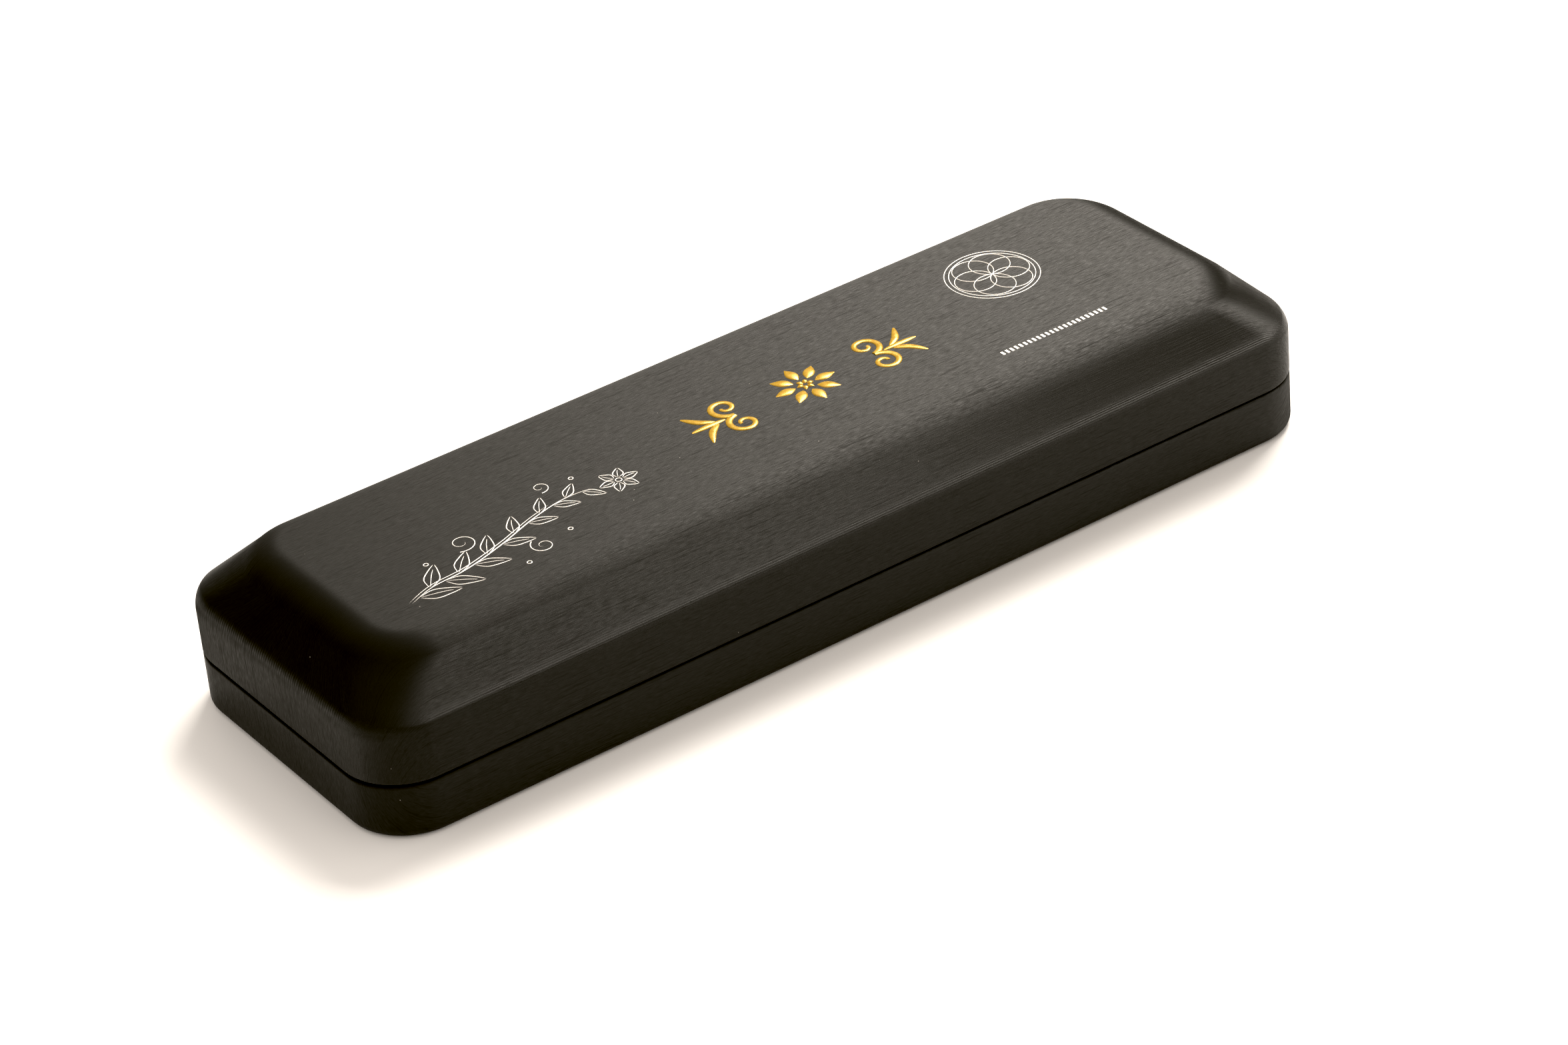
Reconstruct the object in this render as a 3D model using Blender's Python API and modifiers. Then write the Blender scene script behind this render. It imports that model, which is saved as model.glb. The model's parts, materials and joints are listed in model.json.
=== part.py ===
"""A single-note harmonica in its hard clamshell case, closed as it lies on a table.

Metres, +Z up, +X along the case, +Y towards the hinge, and z = 0 on the table.
The case has a pressed steel base and lid, each wrapped in black film, a snap hinge at the back,
a flocked tray and a flocked lid lining. In the tray lies the harmonica: a comb with one row of
chambers, two slotted reed plates with their riveted reeds, and two cover plates.
"""

import math

import bmesh
import bpy
from mathutils import Matrix, Vector

for old in list(bpy.data.objects):
    bpy.data.objects.remove(old, do_unlink=True)


# Driving dimensions of the case

FIT_GAP = 0.0003  # air left between neighbouring pieces
OVERCUT = 0.0005  # how far a cutter runs past what it cuts
CASE_LENGTH = 0.2100
CASE_WIDTH = 0.0700
CASE_HEIGHT = 0.0322
SEAM_HEIGHT = 0.0111  # middle of the slit between base and lid
SEAM_GAP = 0.0004
SHOULDER_HEIGHT = 0.0219  # where the lid's upright walls turn into its slopes
END_INSET = 0.0095  # how far the slopes lean in, at the two ends
SIDE_INSET = 0.0097  # and along the two long sides
PLAN_RADIUS = 0.0121  # upright corners, seen from above
TOP_RADIUS = 0.0107  # corners of the flat top
SIDE_SHOULDER_RADIUS = 0.0022
END_SHOULDER_RADIUS = 0.0060
SIDE_CREASE_RADIUS = 0.0080
END_CREASE_RADIUS = 0.0100
BOTTOM_RADIUS = 0.0018
FILM = 0.0004
STEEL = 0.0005
LINING = 0.0008
HEM_LENGTH = 0.0045  # film turned in over the steel rim

STEEL_DEPTH = FILM + FIT_GAP
HEM_DEPTH = STEEL_DEPTH + STEEL + FIT_GAP + FILM  # the hem's inner face
LINING_DEPTH = HEM_DEPTH + FIT_GAP

# Driving dimensions of the tray

TRAY_TOP = 0.0096
TRAY_FLOOR = STEEL_DEPTH + STEEL + FIT_GAP + LINING
TRAY_EDGE_RADIUS = 0.0012
WELL_LENGTH = 0.1810
WELL_WIDTH = 0.0306
WELL_RADIUS = 0.0040
WELL_DRAFT = 0.0006  # how much the well narrows from its edge to its floor
SCOOP_REACH = 0.0085  # how far the finger scoops widen the well
SCOOP_HALF_LENGTH = 0.0240

# Driving dimensions of the hinge

HINGE_LENGTH = 0.0960
KNUCKLES = 5  # the base has the odd ones, the lid the even ones
KNUCKLE_RADIUS = 0.0018
KNUCKLE_BORE = 0.00095
KNUCKLE_FLAT = 0.0015  # from the axis to the flats that the snap springs press
PIN_RADIUS = 0.00065
PIN_HEAD_RADIUS = 0.0012
PIN_HEAD_LENGTH = 0.0006
LEAF = 0.0008
LEAF_SETBACK = 0.0022  # from the hinge axis to the leaf's near face
LEAF_RISE = 0.00045  # from the seam to the leaf
LEAF_HEIGHT = 0.0070
TAB_END = 0.00115  # from the axis to where a leaf's tab ends, inside its knuckle
NOTCH_HALF_HEIGHT = 0.0025
NOTCH_END_GAP = 0.0012
SPRING = 0.0004
SPRING_WIDTH = 0.0120
SPRING_ANGLE = 240.0  # degrees round the axis, from +Y up, where a spring meets its knuckle
SPRING_PAD = 0.0008  # length of the spring's bearing end
SPRING_BEND = 0.0007  # how far each side of its bend a spring runs straight
SPRING_CLEARANCE = 0.00005  # from the spring to the round of its knuckle
SPRING_SIDE_ROOM = 0.0010  # air at each side of a spring
SPRING_WINDOW_DEPTH = 0.0024  # from the seam down through the base leaf
LID_OPENS = 100.0  # degrees, the turn between the two flats of a lid knuckle

# Driving dimensions of the harmonica

COMB_LENGTH = 0.1780
COMB_DEPTH = 0.0270
COMB_HEIGHT = 0.0064
HOLES = 24
HOLE_PITCH = 0.0070
HOLE_WIDTH = 0.0046
COMB_RADIUS = 0.0020
CHAMBER_TAIL = 0.0008  # air behind a reed's pad
MOUTH_LIP = 0.0010  # how far the comb stands out before the reed plates
PLATE = 0.0010
PLATE_RADIUS = 0.0015
COVER = 0.0005
COVER_RISE = 0.0075
COVER_FRONT = -0.0108  # where the cover's front edge meets the reed plate
COVER_FLANGE = 0.0060  # flat end tabs under the bolt heads
COVER_SHOULDER = 0.0060  # length over which a cover comes down at each end
COVER_CROWN = 0.45  # share of the cover's depth at which it reaches its full height
COVER_TURN = 0.80  # share at which it starts down again
SOUND_OPENING = 0.0052  # height left open along the back
LOW_REED = 0.0150  # tongue lengths of the lowest and the highest reed
HIGH_REED = 0.0085
REED_WIDTH = 0.0022
REED = 0.0003
REED_PAD_LENGTH = 0.0034
REED_PAD_WIDTH = 0.0034
REED_PAD_SHOULDER = 0.0005
REED_TIP = 0.0055  # from the mouth face to the reeds' free tips
RIVET_RADIUS = 0.0005
RIVET_HEAD_RADIUS = 0.0009
RIVET_HEAD = 0.0004
BOLT_INSET = 0.0030
BOLT_RADIUS = 0.0010
BOLT_HEAD_RADIUS = 0.0021
BOLT_HEAD = 0.0011
BOLT_TAIL = 0.0004  # what shows of a bolt beyond its nut
NUT_RADIUS = 0.0023
NUT = 0.0012
PLATE_SCREW_SPACING = 0.0560
PLATE_SCREWS = 3
PLATE_SCREW_RADIUS = 0.0006
PLATE_SCREW_HEAD_RADIUS = 0.0011
PLATE_SCREW_HEAD = 0.0006
PLATE_SCREW_LENGTH = 0.0020
SCREW_LINE = 0.0014  # from the comb's back face to the plate screws

# Places that follow from them

AXIS_Y = CASE_WIDTH / 2
BASE_RIM = SEAM_HEIGHT - SEAM_GAP / 2
LID_RIM = SEAM_HEIGHT + SEAM_GAP / 2
PLATE_FACE = COMB_HEIGHT / 2 + FIT_GAP  # from the comb's middle to a plate's inner face
PLATE_BACK = PLATE_FACE + PLATE
COVER_FOOT = PLATE_BACK + FIT_GAP
COMB_MIDDLE = TRAY_FLOOR + FIT_GAP + COVER_FOOT + COVER_RISE
COMB_FRONT = -COMB_DEPTH / 2
COMB_BACK = COMB_DEPTH / 2
BOLT_X = COMB_LENGTH / 2 - BOLT_INSET
SCREW_Y = COMB_BACK - SCREW_LINE

PARTS = bpy.data.collections.new("harmonica_in_case")
CUTTERS = bpy.data.collections.new("cutters")
for group in (PARTS, CUTTERS):
    bpy.context.scene.collection.children.link(group)


# Materials


def finish(name, colour, roughness, metallic):
    """A plain Principled material."""
    material = bpy.data.materials.new(name)
    material.use_nodes = True
    shader = material.node_tree.nodes["Principled BSDF"]
    shader.inputs["Base Color"].default_value = (*colour, 1)
    shader.inputs["Roughness"].default_value = roughness
    shader.inputs["Metallic"].default_value = metallic
    material.diffuse_color = (*colour, 1)
    return material


BRUSHED_FILM = finish("brushed_film", (0.030, 0.029, 0.027), 0.45, 0.0)
CASE_STEEL = finish("case_steel", (0.45, 0.46, 0.47), 0.40, 1.0)
FLOCK = finish("flock", (0.012, 0.012, 0.014), 0.95, 0.0)
HINGE_STEEL = finish("hinge_steel", (0.62, 0.62, 0.60), 0.30, 1.0)
SPRING_STEEL = finish("spring_steel", (0.40, 0.43, 0.48), 0.25, 1.0)
COMB_PLASTIC = finish("comb_plastic", (0.020, 0.020, 0.022), 0.35, 0.0)
PLATE_BRASS = finish("plate_brass", (0.68, 0.50, 0.22), 0.38, 1.0)
REED_BRASS = finish("reed_brass", (0.72, 0.52, 0.22), 0.30, 1.0)
COVER_STEEL = finish("cover_steel", (0.80, 0.80, 0.81), 0.12, 1.0)
BOLT_STEEL = finish("bolt_steel", (0.70, 0.70, 0.71), 0.22, 1.0)


# Helpers


def add_mesh(name, body, material=None, collection=PARTS):
    """Makes an object of a bmesh and frees the bmesh."""
    mesh = bpy.data.meshes.new(name)
    body.to_mesh(mesh)
    body.free()
    if material:
        mesh.materials.append(material)
    part = bpy.data.objects.new(name, mesh)
    collection.objects.link(part)
    if collection is CUTTERS:
        part.hide_render = True
        part.display_type = "WIRE"
    return part


def box(name, low, high, material=None, collection=PARTS):
    """A block between two corners."""
    low, high = Vector(low), Vector(high)
    body = bmesh.new()
    size = Matrix.Diagonal((*(high - low), 1))
    bmesh.ops.create_cube(body, size=1, matrix=Matrix.Translation((low + high) / 2) @ size)
    return add_mesh(name, body, material, collection)


def cylinder(name, start, end, radius, sides=12, collection=PARTS):
    """A round bar from one point to another."""
    start, end = Vector(start), Vector(end)
    run = end - start
    turn = Vector((0, 0, 1)).rotation_difference(run).to_matrix().to_4x4()
    body = bmesh.new()
    bmesh.ops.create_cone(
        body,
        cap_ends=True,
        segments=sides,
        radius1=radius,
        radius2=radius,
        depth=run.length,
        matrix=Matrix.Translation((start + end) / 2) @ turn,
    )
    return add_mesh(name, body, None, collection)


def circle(centre, radius, sides=12):
    """Points round a circle in a flat outline."""
    turns = [2 * math.pi * step / sides for step in range(sides)]
    return [(centre[0] + radius * math.cos(t), centre[1] + radius * math.sin(t)) for t in turns]


def rectangle(low, high):
    """The four corners of a rectangle in a flat outline."""
    return [low, (high[0], low[1]), high, (low[0], high[1])]


def plate_of(name, outlines, thickness, middle, turn=None, material=None):
    """A flat outline with its holes, given a thickness, as a 2D curve."""
    curve = bpy.data.curves.new(name, "CURVE")
    curve.dimensions = "2D"
    curve.fill_mode = "BOTH"
    curve.extrude = thickness / 2
    for points in outlines:
        spline = curve.splines.new("POLY")
        spline.points.add(len(points) - 1)
        for knot, (x, y) in zip(spline.points, points):
            knot.co = (x, y, 0, 1)
        spline.use_cyclic_u = True
    if material:
        curve.materials.append(material)
    part = bpy.data.objects.new(name, curve)
    PARTS.objects.link(part)
    part.matrix_world = Matrix.Translation(middle) @ (turn or Matrix())
    return part


def as_mesh(part, material=None, collection=PARTS):
    """Makes a curve object a closed mesh object in its place."""
    bpy.context.view_layer.update()
    graph = bpy.context.evaluated_depsgraph_get()
    mesh = bpy.data.meshes.new_from_object(part.evaluated_get(graph))
    body = bmesh.new()
    body.from_mesh(mesh)
    bmesh.ops.remove_doubles(body, verts=body.verts, dist=1e-6)
    name, place = part.name, part.matrix_world.copy()
    bpy.data.objects.remove(part, do_unlink=True)
    bpy.data.meshes.remove(mesh)
    solid = add_mesh(name, body, material, collection)
    solid.matrix_world = place
    return solid


def combine(part, other, operation):
    """Adds a live Boolean, and moves the other object to the cutters."""
    boolean = part.modifiers.new(operation.lower() + "_" + other.name, "BOOLEAN")
    boolean.operation = operation
    boolean.solver = "EXACT"
    boolean.object = other
    if CUTTERS not in other.users_collection:
        for group in other.users_collection:
            group.objects.unlink(other)
        CUTTERS.objects.link(other)
    other.hide_render = True
    other.display_type = "WIRE"


def cut(part, other):
    combine(part, other, "DIFFERENCE")


def fuse(part, other):
    combine(part, other, "UNION")


def mix(first, second, share):
    return first + (second - first) * share


def rounded_corner(before, corner, after, radius, steps):
    """The arc that rounds the corner between two straight runs."""
    corner = Vector(corner)
    back = (Vector(before) - corner).normalized()
    ahead = (Vector(after) - corner).normalized()
    half = back.angle(ahead) / 2
    centre = corner + (back + ahead).normalized() * (radius / math.sin(half))
    spoke = corner + back * (radius / math.tan(half)) - centre
    sweep = math.copysign(math.pi - 2 * half, ahead.cross(back))
    return [centre + Matrix.Rotation(sweep * k / steps, 2) @ spoke for k in range(steps + 1)]


def ring(half, radii, steps, stops=(), swell=0.0):
    """Points round a rectangle with elliptical corners, as (x, y, share).

    The share is 0 on the ends and 1 on the long sides. The stops are further points on the long
    sides, where the swell widens the ring round x = 0.
    """
    points = []
    for quarter in range(4):
        sign_x = 1 if quarter in (0, 3) else -1
        sign_y = 1 if quarter < 2 else -1
        for step in range(steps + 1):
            angle = math.pi / 2 * (quarter + step / steps)
            x = sign_x * (half[0] - radii[0]) + radii[0] * math.cos(angle)
            y = sign_y * (half[1] - radii[1]) + radii[1] * math.sin(angle)
            points.append((x, y, math.sin(angle) ** 2))
        if quarter in (0, 2):
            for stop in stops:
                bulge = swell * math.cos(math.pi / 2 * min(1, abs(stop) / SCOOP_HALF_LENGTH)) ** 2
                points.append((-sign_y * stop, sign_y * (half[1] + bulge), 1))
    return points


def loft(name, rings, material, facing_down=False):
    """An open surface through the rings, closed by a face on the last one."""
    body = bmesh.new()
    rows = [[body.verts.new(point) for point in points] for points in rings]
    for lower, upper in zip(rows, rows[1:]):
        for i in range(len(lower)):
            j = (i + 1) % len(lower)
            body.faces.new((lower[i], lower[j], upper[j], upper[i]))
    body.faces.new(rows[-1])
    if facing_down:
        bmesh.ops.reverse_faces(body, faces=body.faces)
    return add_mesh(name, body, material)


def thicken(part, thickness):
    """Gives an open surface its wall, behind the modelled face."""
    wall = part.modifiers.new("wall", "SOLIDIFY")
    wall.thickness = thickness
    wall.offset = -1
    wall.use_even_offset = True


# The case: each layer follows the outside at its own depth


def case_ring(end, side, lean, steps):
    """One level of the case.

    end and side are (inset, height) at the ends and along the long sides. lean is 0 on the
    upright walls and 1 at the flat top, and moves the corners' centres inwards.
    """
    centre_x = mix(PLAN_RADIUS, END_INSET + TOP_RADIUS, lean)
    centre_y = mix(PLAN_RADIUS, SIDE_INSET + TOP_RADIUS, lean)
    half = (CASE_LENGTH / 2 - end[0], CASE_WIDTH / 2 - side[0])
    radii = (centre_x - end[0], centre_y - side[0])
    return [(x, y, mix(end[1], side[1], share)) for x, y, share in ring(half, radii, steps)]


def level(depth, height, steps):
    """A ring on the upright walls."""
    return case_ring((depth, height), (depth, height), 0, steps)


def slope(depth, inset, shoulder_radius, crease_radius, steps):
    """The section of one lid slope at a depth: its rounded shoulder and its rounded crease."""
    tilt = math.atan2(CASE_HEIGHT - SHOULDER_HEIGHT, inset)
    shoulder = (depth, SHOULDER_HEIGHT - depth * math.tan((math.pi / 2 - tilt) / 2))
    crease = (inset + depth * math.tan(tilt / 2), CASE_HEIGHT - depth)
    low = max(shoulder_radius - depth, FIT_GAP)
    high = max(crease_radius - depth, FIT_GAP)
    return (
        rounded_corner((depth, 0), shoulder, crease, low, steps),
        rounded_corner(shoulder, crease, (CASE_LENGTH, crease[1]), high, steps),
    )


def lid_rings(depth, steps, bends):
    """The lid's outside at a depth, from the shoulder to the flat top."""
    ends = slope(depth, END_INSET, END_SHOULDER_RADIUS, END_CREASE_RADIUS, bends)
    sides = slope(depth, SIDE_INSET, SIDE_SHOULDER_RADIUS, SIDE_CREASE_RADIUS, bends)
    rings = []
    for lean in (0, 1):
        rings += [case_ring(e, s, lean, steps) for e, s in zip(ends[lean], sides[lean])]
    return rings


def base_rings(depth, steps, bends):
    """The base's outside at a depth, from the foot of its walls to its flat bottom."""
    radius = max(BOTTOM_RADIUS - depth, FIT_GAP)
    bend = rounded_corner((depth, 1), (depth, depth), (1, depth), radius, bends)
    return [case_ring(point, point, 0, steps) for point in bend]


def hemmed(rim, upward, steps):
    """Film turned in over a rim: up or down the inner face, over the rim and onto the outside."""
    return [
        level(HEM_DEPTH, rim + upward * HEM_LENGTH, steps),
        level(HEM_DEPTH, rim, steps),
        level(0, rim, steps),
    ]


def make_lid():
    steel_rim = LID_RIM + STEEL_DEPTH
    covering = loft("lid_covering", hemmed(LID_RIM, 1, 8) + lid_rings(0, 8, 4), BRUSHED_FILM)
    thicken(covering, FILM)
    shell_rings = [level(STEEL_DEPTH, steel_rim, 6)] + lid_rings(STEEL_DEPTH, 6, 2)
    shell = loft("lid_shell", shell_rings, CASE_STEEL)
    thicken(shell, STEEL)
    lining_rings = [level(LINING_DEPTH, LID_RIM + FIT_GAP, 6)] + lid_rings(LINING_DEPTH, 6, 2)
    lining = loft("lid_lining", lining_rings, FLOCK)
    thicken(lining, LINING)
    return covering, shell, lining


def make_base():
    covering_rings = hemmed(BASE_RIM, -1, 8) + base_rings(0, 8, 3)
    covering = loft("base_covering", covering_rings, BRUSHED_FILM, facing_down=True)
    thicken(covering, FILM)
    shell_rings = [level(STEEL_DEPTH, BASE_RIM - STEEL_DEPTH, 6)] + base_rings(STEEL_DEPTH, 6, 2)
    shell = loft("base_shell", shell_rings, CASE_STEEL, facing_down=True)
    thicken(shell, STEEL)
    return covering, shell


def tray_ring(half_length, half_width, radius, height, swell):
    reach = SCOOP_HALF_LENGTH
    stops = [reach * share for share in (-1, -0.75, -0.5, -0.25, 0, 0.25, 0.5, 0.75, 1)]
    points = ring((half_length, half_width), (radius, radius), 5, stops, swell)
    return [(x, y, height) for x, y, share in points]


def make_tray():
    """A formed sheet: a skirt that stands on the base, a level rim and a well with finger scoops."""
    half_length = CASE_LENGTH / 2 - LINING_DEPTH
    half_width = CASE_WIDTH / 2 - LINING_DEPTH
    radius = PLAN_RADIUS - LINING_DEPTH
    foot = TRAY_FLOOR - LINING
    rings = [tray_ring(half_length, half_width, radius, foot, 0)]
    edge = rounded_corner((0, 0), (0, TRAY_TOP), (1, TRAY_TOP), TRAY_EDGE_RADIUS, 2)
    for inset, height in edge:
        rings.append(
            tray_ring(half_length - inset, half_width - inset, radius - inset, height, 0)
        )
    lip = rounded_corner((-1, TRAY_TOP), (0, TRAY_TOP), (0, 0), TRAY_EDGE_RADIUS, 2)
    for inset, height in lip:
        rings.append(
            tray_ring(
                WELL_LENGTH / 2 - inset,
                WELL_WIDTH / 2 - inset,
                WELL_RADIUS - inset,
                height,
                SCOOP_REACH,
            )
        )
    rings.append(
        tray_ring(
            WELL_LENGTH / 2 - WELL_DRAFT,
            WELL_WIDTH / 2 - WELL_DRAFT,
            WELL_RADIUS - WELL_DRAFT,
            TRAY_FLOOR,
            SCOOP_REACH - WELL_DRAFT,
        )
    )
    tray = loft("base_tray", rings, FLOCK)
    thicken(tray, LINING)
    return tray


# The snap hinge

UPRIGHT = Matrix(((0, 0, 1, 0), (1, 0, 0, 0), (0, 1, 0, 0), (0, 0, 0, 1)))  # outline x, y to Y, Z


def knuckle_span(number):
    """The two ends along X of a knuckle, counted from 1."""
    pitch = HINGE_LENGTH / KNUCKLES
    start = -HINGE_LENGTH / 2 + (number - 1) * pitch
    return start + FIT_GAP / 2, start + pitch - FIT_GAP / 2


def make_leaf(name, numbers, upward):
    """A leaf behind the steel wall, with a tab and a rolled knuckle for each of its numbers."""
    near = AXIS_Y - LEAF_SETBACK
    low, high = sorted((upward * LEAF_RISE, upward * (LEAF_RISE + LEAF_HEIGHT)))
    leaf = box(
        name,
        (-HINGE_LENGTH / 2, near - LEAF, SEAM_HEIGHT + low),
        (HINGE_LENGTH / 2, near, SEAM_HEIGHT + high),
        HINGE_STEEL,
    )
    for number in numbers:
        start, end = knuckle_span(number)
        low, high = sorted((upward * LEAF_RISE, upward * (LEAF_RISE + LEAF)))
        tab = box(
            f"{name}_tab_{number}",
            (start, near - LEAF / 2, SEAM_HEIGHT + low),
            (end, AXIS_Y - TAB_END, SEAM_HEIGHT + high),
            HINGE_STEEL,
        )
        fuse(leaf, tab)
        tube = plate_of(
            f"{name}_knuckle_{number}",
            [circle((0, 0), KNUCKLE_RADIUS, 20), circle((0, 0), KNUCKLE_BORE, 12)],
            end - start,
            ((start + end) / 2, AXIS_Y, SEAM_HEIGHT),
            UPRIGHT,
        )
        fuse(leaf, as_mesh(tube, HINGE_STEEL))
    return leaf


def make_hinge():
    """Makes both leaves, the snap springs and the pin, and returns the lid's leaf."""
    lid_numbers = range(2, KNUCKLES + 1, 2)
    lid_leaf = make_leaf("hinge_lid_leaf", lid_numbers, 1)
    base_leaf = make_leaf("hinge_base_leaf", range(1, KNUCKLES + 1, 2), -1)
    near = AXIS_Y - LEAF_SETBACK
    half = SPRING_WIDTH / 2 + SPRING_SIDE_ROOM
    for side, number in zip(("left", "right"), lid_numbers):
        middle = sum(knuckle_span(number)) / 2
        window = box(
            f"spring_window_{side}",
            (middle - half, near - LEAF - OVERCUT, SEAM_HEIGHT - SPRING_WINDOW_DEPTH),
            (middle + half, near + OVERCUT, SEAM_HEIGHT),
            collection=CUTTERS,
        )
        cut(base_leaf, window)
        make_spring(f"snap_spring_{side}", middle)
        for turn in (0, LID_OPENS):
            cut(lid_leaf, flat_cutter(f"flat_{side}_{int(turn)}", middle, turn))
    make_pin()
    return lid_leaf


def flat_cutter(name, middle, turn):
    """The block that planes one flat on a lid knuckle. The lid's turn brings it to the spring."""
    block = box(
        name,
        (-SPRING_WIDTH / 2 - SPRING_SIDE_ROOM, KNUCKLE_FLAT, -KNUCKLE_RADIUS),
        (SPRING_WIDTH / 2 + SPRING_SIDE_ROOM, KNUCKLE_RADIUS + OVERCUT, KNUCKLE_RADIUS),
        collection=CUTTERS,
    )
    place = Matrix.Translation((middle, AXIS_Y, SEAM_HEIGHT))
    block.matrix_world = place @ Matrix.Rotation(math.radians(SPRING_ANGLE + turn), 4, "X")
    return block


def strip(line, thickness):
    """The outline of a bent strip along a line of points."""
    sides = ([], [])
    for k, point in enumerate(line):
        runs = [line[k] - line[k - 1]] if k else []
        runs += [line[k + 1] - line[k]] if k < len(line) - 1 else []
        normals = [Vector((-run.y, run.x)).normalized() for run in runs]
        normal = sum(normals, Vector((0, 0))).normalized()
        offset = normal * (thickness / 2 / normal.dot(normals[0]))
        sides[0].append(tuple(point + offset))
        sides[1].append(tuple(point - offset))
    return sides[0] + sides[1][::-1]


def make_spring(name, middle):
    """A bent leaf spring: its foot lies on the base leaf and its end bears on a lid knuckle."""
    axis = Vector((AXIS_Y, SEAM_HEIGHT))
    angle = math.radians(SPRING_ANGLE)
    outward = Vector((math.cos(angle), math.sin(angle)))
    along = Vector((-outward.y, outward.x))
    bearing = axis + outward * (KNUCKLE_RADIUS + SPRING_CLEARANCE + SPRING / 2)
    foot_y = AXIS_Y - LEAF_SETBACK - LEAF - FIT_GAP - SPRING / 2
    rise = (bearing.x - foot_y) / along.x * along.y
    bend = Vector((foot_y, bearing.y - rise))
    line = [
        Vector((foot_y, SEAM_HEIGHT - LEAF_HEIGHT)),
        bend - Vector((0, SPRING_BEND)),
        bend + along * SPRING_BEND,
        bearing + along * (SPRING_PAD / 2),
    ]
    plate_of(name, [strip(line, SPRING)], SPRING_WIDTH, (middle, 0, 0), UPRIGHT, SPRING_STEEL)


def make_pin():
    """The hinge pin, with a peened head outside each end knuckle."""
    inner = HINGE_LENGTH / 2 + FIT_GAP
    outer = inner + PIN_HEAD_LENGTH
    pin = cylinder(
        "hinge_pin",
        (-inner - PIN_HEAD_LENGTH / 2, AXIS_Y, SEAM_HEIGHT),
        (inner + PIN_HEAD_LENGTH / 2, AXIS_Y, SEAM_HEIGHT),
        PIN_RADIUS,
    )
    pin.data.materials.append(HINGE_STEEL)
    for side in (-1, 1):
        head = cylinder(
            f"pin_head_{side}",
            (side * inner, AXIS_Y, SEAM_HEIGHT),
            (side * outer, AXIS_Y, SEAM_HEIGHT),
            PIN_HEAD_RADIUS,
        )
        fuse(pin, head)


def make_hinge_room(outer_layers, lid_lining, tray):
    """The notch in both rims for the barrel, and the windows in the linings for the leaves."""
    half = HINGE_LENGTH / 2 + NOTCH_END_GAP
    notch = box(
        "barrel_notch",
        (-half, AXIS_Y - LEAF_SETBACK - LEAF, SEAM_HEIGHT - NOTCH_HALF_HEIGHT),
        (half, AXIS_Y + KNUCKLE_RADIUS, SEAM_HEIGHT + NOTCH_HALF_HEIGHT),
        collection=CUTTERS,
    )
    for layer in outer_layers:
        cut(layer, notch)
    far = AXIS_Y - LINING_DEPTH + FIT_GAP
    window_top = SEAM_HEIGHT + LEAF_RISE + LEAF_HEIGHT + FIT_GAP
    lid_window = box(
        "lid_leaf_window",
        (-half, AXIS_Y - LEAF_SETBACK - LEAF - FIT_GAP, SEAM_HEIGHT),
        (half, far, window_top),
        collection=CUTTERS,
    )
    cut(lid_lining, lid_window)
    tray_window = box(
        "tray_leaf_window",
        (-half, AXIS_Y - LEAF_SETBACK - LEAF - 3 * FIT_GAP - SPRING, 0),
        (half, far, SEAM_HEIGHT),
        collection=CUTTERS,
    )
    cut(tray, tray_window)


# The harmonica


def hole_x(number):
    """The middle of a hole, counted from 1 at the low end."""
    return (number - (HOLES + 1) / 2) * HOLE_PITCH


def tongue_length(number):
    """Reeds shorten from the low end to the high end."""
    return mix(LOW_REED, HIGH_REED, (number - 1) / (HOLES - 1))


def reed_back(number):
    """The back edge of a reed's riveted pad."""
    return COMB_FRONT + REED_TIP + tongue_length(number) + REED_PAD_LENGTH


def screw_places():
    """Where the plate screws go, along X."""
    return [(k - (PLATE_SCREWS - 1) / 2) * PLATE_SCREW_SPACING for k in range(PLATE_SCREWS)]


def bolt_holes():
    return [circle((side * BOLT_X, 0), BOLT_RADIUS + FIT_GAP, 12) for side in (-1, 1)]


def screw_holes(radius):
    return [circle((x, SCREW_Y), radius, 8) for x in screw_places()]


def rounded_rectangle(length, front, back, radius):
    """A plate's outline with its four corners rounded."""
    middle = (front + back) / 2
    half = (length / 2, (back - front) / 2)
    return [(x, y + middle) for x, y, share in ring(half, (radius, radius), 3)]


def make_comb():
    """One row of chambers, open to the mouth and to both plates, and shorter towards the high end."""
    half = COMB_LENGTH / 2
    ends = [(-half, COMB_FRONT), (half, COMB_FRONT), (half, COMB_BACK), (-half, COMB_BACK)]
    corners = [
        rounded_corner(ends[k - 1], ends[k], ends[(k + 1) % 4], COMB_RADIUS, 3) for k in range(4)
    ]
    outline = [tuple(point) for point in corners[0]]
    for number in range(1, HOLES + 1):
        x = hole_x(number)
        back = reed_back(number) + CHAMBER_TAIL
        outline += [
            (x - HOLE_WIDTH / 2, COMB_FRONT),
            (x - HOLE_WIDTH / 2, back),
            (x + HOLE_WIDTH / 2, back),
            (x + HOLE_WIDTH / 2, COMB_FRONT),
        ]
    for corner in corners[1:]:
        outline += [tuple(point) for point in corner]
    holes = bolt_holes() + screw_holes(PLATE_SCREW_RADIUS + FIT_GAP)
    middle = (0, 0, COMB_MIDDLE)
    return plate_of("comb", [outline] + holes, COMB_HEIGHT, middle, material=COMB_PLASTIC)


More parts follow.
